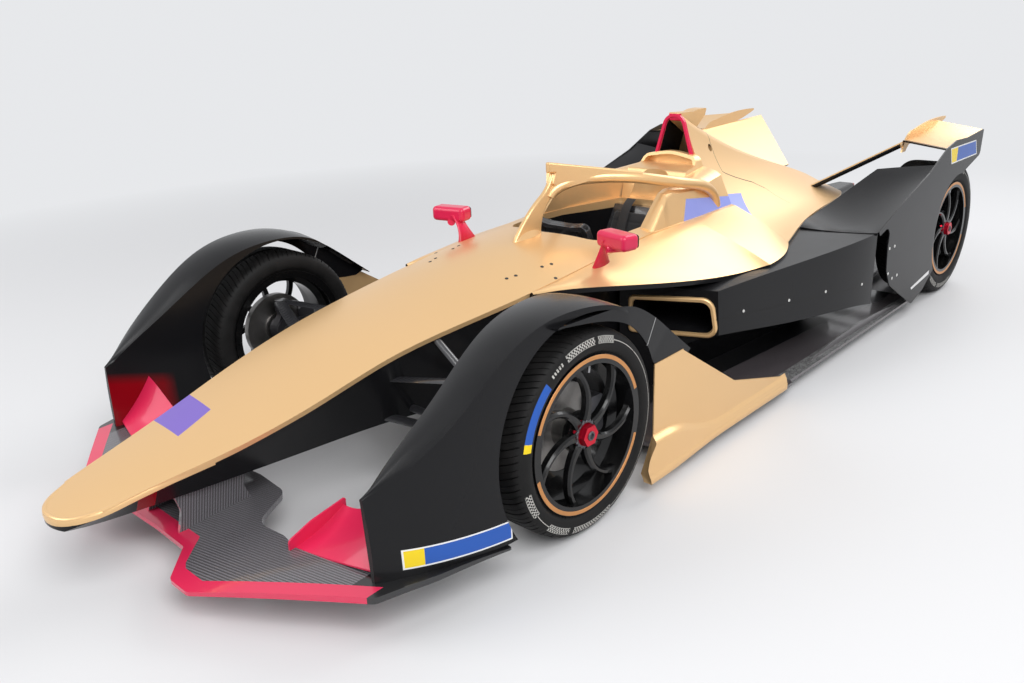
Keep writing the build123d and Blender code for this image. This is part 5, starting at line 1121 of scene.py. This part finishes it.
def fender_tail(name, side):
    """The fender's outer face carried on behind the wheel down to the side plate: rows run along
    the tail between two splines, and each row goes up the face, over a round and in as a flange."""
    count = 60
    low, top = smooth_line(TAIL_LOW, count), smooth_line(TAIL_TOP, count)
    face = TAIL_FACE - 0.010 * np.clip((np.linspace(0, 1, count) - 0.35) / 0.35, 0, 1)
    rows = [(low + share * (top - low), side * face) for share in np.linspace(0, 1, 10)]
    rows += [(top - (0, drop), side * (face - inward)) for drop, inward in TAIL_ROUND]
    rows += [
        (low + share * (top - low) - (0, 0.008 * share), side * (face - TAIL_THICKNESS))
        for share in (0.9, 0.5, 0.0)
    ]
    points = side_points(rows)
    finish_mesh("fender_tail_" + name, points, "fender_tail_paint", sharp=40)


NOSE_EDGE = (
    (2.180, 0.1900), (2.250, 0.1735), (2.320, 0.1575), (2.380, 0.1455), (2.420, 0.1383),
    (2.450, 0.1325), (2.472, 0.1268), (2.492, 0.1190), (2.510, 0.1100), (2.526, 0.1010),
    (2.541, 0.0898), (2.554, 0.0760), (2.566, 0.0585), (2.5755, 0.0380), (2.5805, 0.0150),
)
NOSE_CROWN = (
    (2.15, 0.3712), (2.20, 0.3617), (2.30, 0.3431), (2.38, 0.3271), (2.44, 0.3139), (2.50, 0.3010),
    (2.54, 0.2936), (2.58, 0.2880),
)
EDGE_SECTION = np.array(
    [(0.0150, -0.0012), (0.0120, 0.0006), (0.0070, 0.0006), (0.0030, -0.0008), (0.0006, -0.0034),
     (-0.0006, -0.0075), (-0.0008, -0.0130), (-0.0002, -0.0172), (0.0030, -0.0186),
     (0.0100, -0.0160)]
)


def nose_edge():
    """The rounded edge of the nose's top: a small section of inset and drop, carried round the
    nose's outline, on the height crown(x) - 0.34 y^2 of its top."""
    ahead = np.array(NOSE_EDGE)
    outline = smooth_line(np.concatenate([ahead, ahead[::-1] * (1, -1)]), 220)
    run = np.gradient(outline, axis=0)
    run /= np.linalg.norm(run, axis=1, keepdims=True)
    outward = np.stack([-run[:, 1], run[:, 0]], axis=-1)
    inset, lift = EDGE_SECTION.T
    sunk = 0.0045 * np.clip((2.36 - outline[:, :1]) / 0.16, 0, 1)
    spot = outline[:, None] - (inset + sunk)[..., None] * outward[:, None]
    crown = np.interp(spot[..., 0], *np.array(NOSE_CROWN).T)
    z = crown - 0.34 * spot[..., 1] ** 2 + lift - 0.5 * sunk
    points = np.concatenate([spot, z[..., None]], axis=-1)
    finish_mesh("nose_edge", points, "gold_paint", sharp=60)


FLANK_HEADS = (
    (0.183, 0.719, 0.363), (-0.099, 0.772, 0.345), (-0.342, 0.820, 0.331), (-0.618, 0.865, 0.305),
)
GUARD_HEADS = (
    (-0.912, 0.885, 0.422), (-0.852, 0.885, 0.423), (-0.866, 0.885, 0.300), (-0.983, 0.885, 0.267),
    (-0.923, 0.885, 0.265),
)
DECK_HEADS = (
    (0.988, 0.205, 0.600), (0.950, 0.215, 0.603), (0.832, 0.239, 0.614), (0.790, 0.249, 0.617),
    (0.852, 0.321, 0.589),
)


def on_side(places, side):
    return [(x, y * side, z) for x, y, z in places]


for corner in CORNERS:
    for build in (tyre, rim_band, valve, nut_pieces):
        build(corner)
for build in (cockpit, steering_controls, mirror_faces, nose_edge):
    build()
for name, side in SIDES:
    for build in (plate_skirt, plate_brow, fender_tail):
        build(name, side)
for name, side in SIDES:
    for part, node, places, radius in (
        ("flank_heads_", "sidepod_", FLANK_HEADS, 0.0065),
        ("guard_heads_", "rear_guard_", GUARD_HEADS, 0.0075),
    ):
        heads(part + name, node + name, on_side(places, side), radius, "white_head")
both_sides = on_side(DECK_HEADS, 1) + on_side(DECK_HEADS, -1)
heads("deck_heads", "monocoque", both_sides, 0.007, "dark_head")

FAR_FLOOR = 60
FADE = (2.6, 6.5)
LAMPS = (
    ("key", (3.5, 5.0, 5.5), (0, 0, 0.4), 4.5, 420),
    ("fill", (5.5, -3.5, 4.0), (0, 0, 0.4), 4.0, 180),
    ("rim", (-5.5, 1.0, 5.0), (0, 0, 0.5), 4.5, 260),
)


def seen_directly(g):
    """1 for what the camera sees itself, in a mirror or through glass."""
    rays = g.outputs(g.add("ShaderNodeLightPath"))
    return rays["Is Camera Ray"] | rays["Is Glossy Ray"] | rays["Is Transmission Ray"]


def studio():
    """A pale floor that fades into a pale surround, under broad soft lamps."""
    mesh = bpy.data.meshes.new("studio_floor")
    corners = [(x * FAR_FLOOR, y * FAR_FLOOR, 0) for x, y in ((-1, -1), (1, -1), (1, 1), (-1, 1))]
    mesh.from_pydata(corners, [], [(0, 1, 2, 3)])
    ground = add_object("studio_floor", mesh)
    g = material("studio_floor")
    g.shade(Base_Color=(0.70, 0.70, 0.71, 1), Roughness=0.8)
    glow = g.add("ShaderNodeEmission")
    g.feed(glow.inputs, Color=SKY)
    share = g.span(g.vector("LENGTH", g.place), *FADE) & seen_directly(g)
    near, far = (Value(g, node.outputs[0]) for node in (g.shader, glow))
    lit = g.fill(g.add("ShaderNodeMixShader"), share, near, far)
    g.feed(g.tree.nodes["Material Output"].inputs, Surface=lit)
    mesh.materials.append(MADE["studio_floor"])
    world = bpy.data.worlds.new("studio")
    bpy.context.scene.world = world
    world.use_nodes = True
    sky = Graph(world.node_tree)
    strength = sky.blend(seen_directly(sky), 0.50, 1.0)
    sky.feed(sky.tree.nodes["Background"].inputs, Color=SKY, Strength=strength)
    for name, spot, target, size, watts in LAMPS:
        lamp = bpy.data.lights.new(name, "AREA")
        lamp.size, lamp.energy = size, watts
        holder = add_object(name, lamp)
        holder.location = spot
        holder.rotation_mode = "QUATERNION"
        holder.rotation_quaternion = (Vector(target) - Vector(spot)).to_track_quat("-Z", "Y")
    bpy.context.scene.view_settings.view_transform = "Standard"


CAMERA_PLACE = (3.20397, 2.33013, 1.47630)
YAW, PITCH, ROLL = -2.38042623, -0.349474167, -0.0400817043
FOCAL_PIXELS, PICTURE_WIDTH, SENSOR_WIDTH = 882.4767, 1024, 36.0


def photo_camera():
    """The camera of the photograph, from its place, yaw, pitch, roll and focal length."""
    flat = Vector((math.cos(YAW), math.sin(YAW), 0.0))
    ahead = math.cos(PITCH) * flat + Vector((0.0, 0.0, math.sin(PITCH)))
    level = Vector((math.sin(YAW), -math.cos(YAW), 0.0))
    above = level.cross(ahead)
    right = math.cos(ROLL) * level + math.sin(ROLL) * above
    up = math.cos(ROLL) * above - math.sin(ROLL) * level
    lens = bpy.data.cameras.new("photo_camera")
    lens.sensor_width = SENSOR_WIDTH
    lens.lens = FOCAL_PIXELS / PICTURE_WIDTH * SENSOR_WIDTH
    holder = add_object("photo_camera", lens)
    turn = Matrix((right, up, -ahead)).transposed().to_4x4()
    holder.matrix_world = Matrix.Translation(CAMERA_PLACE) @ turn
    bpy.context.scene.camera = holder


studio()
photo_camera()
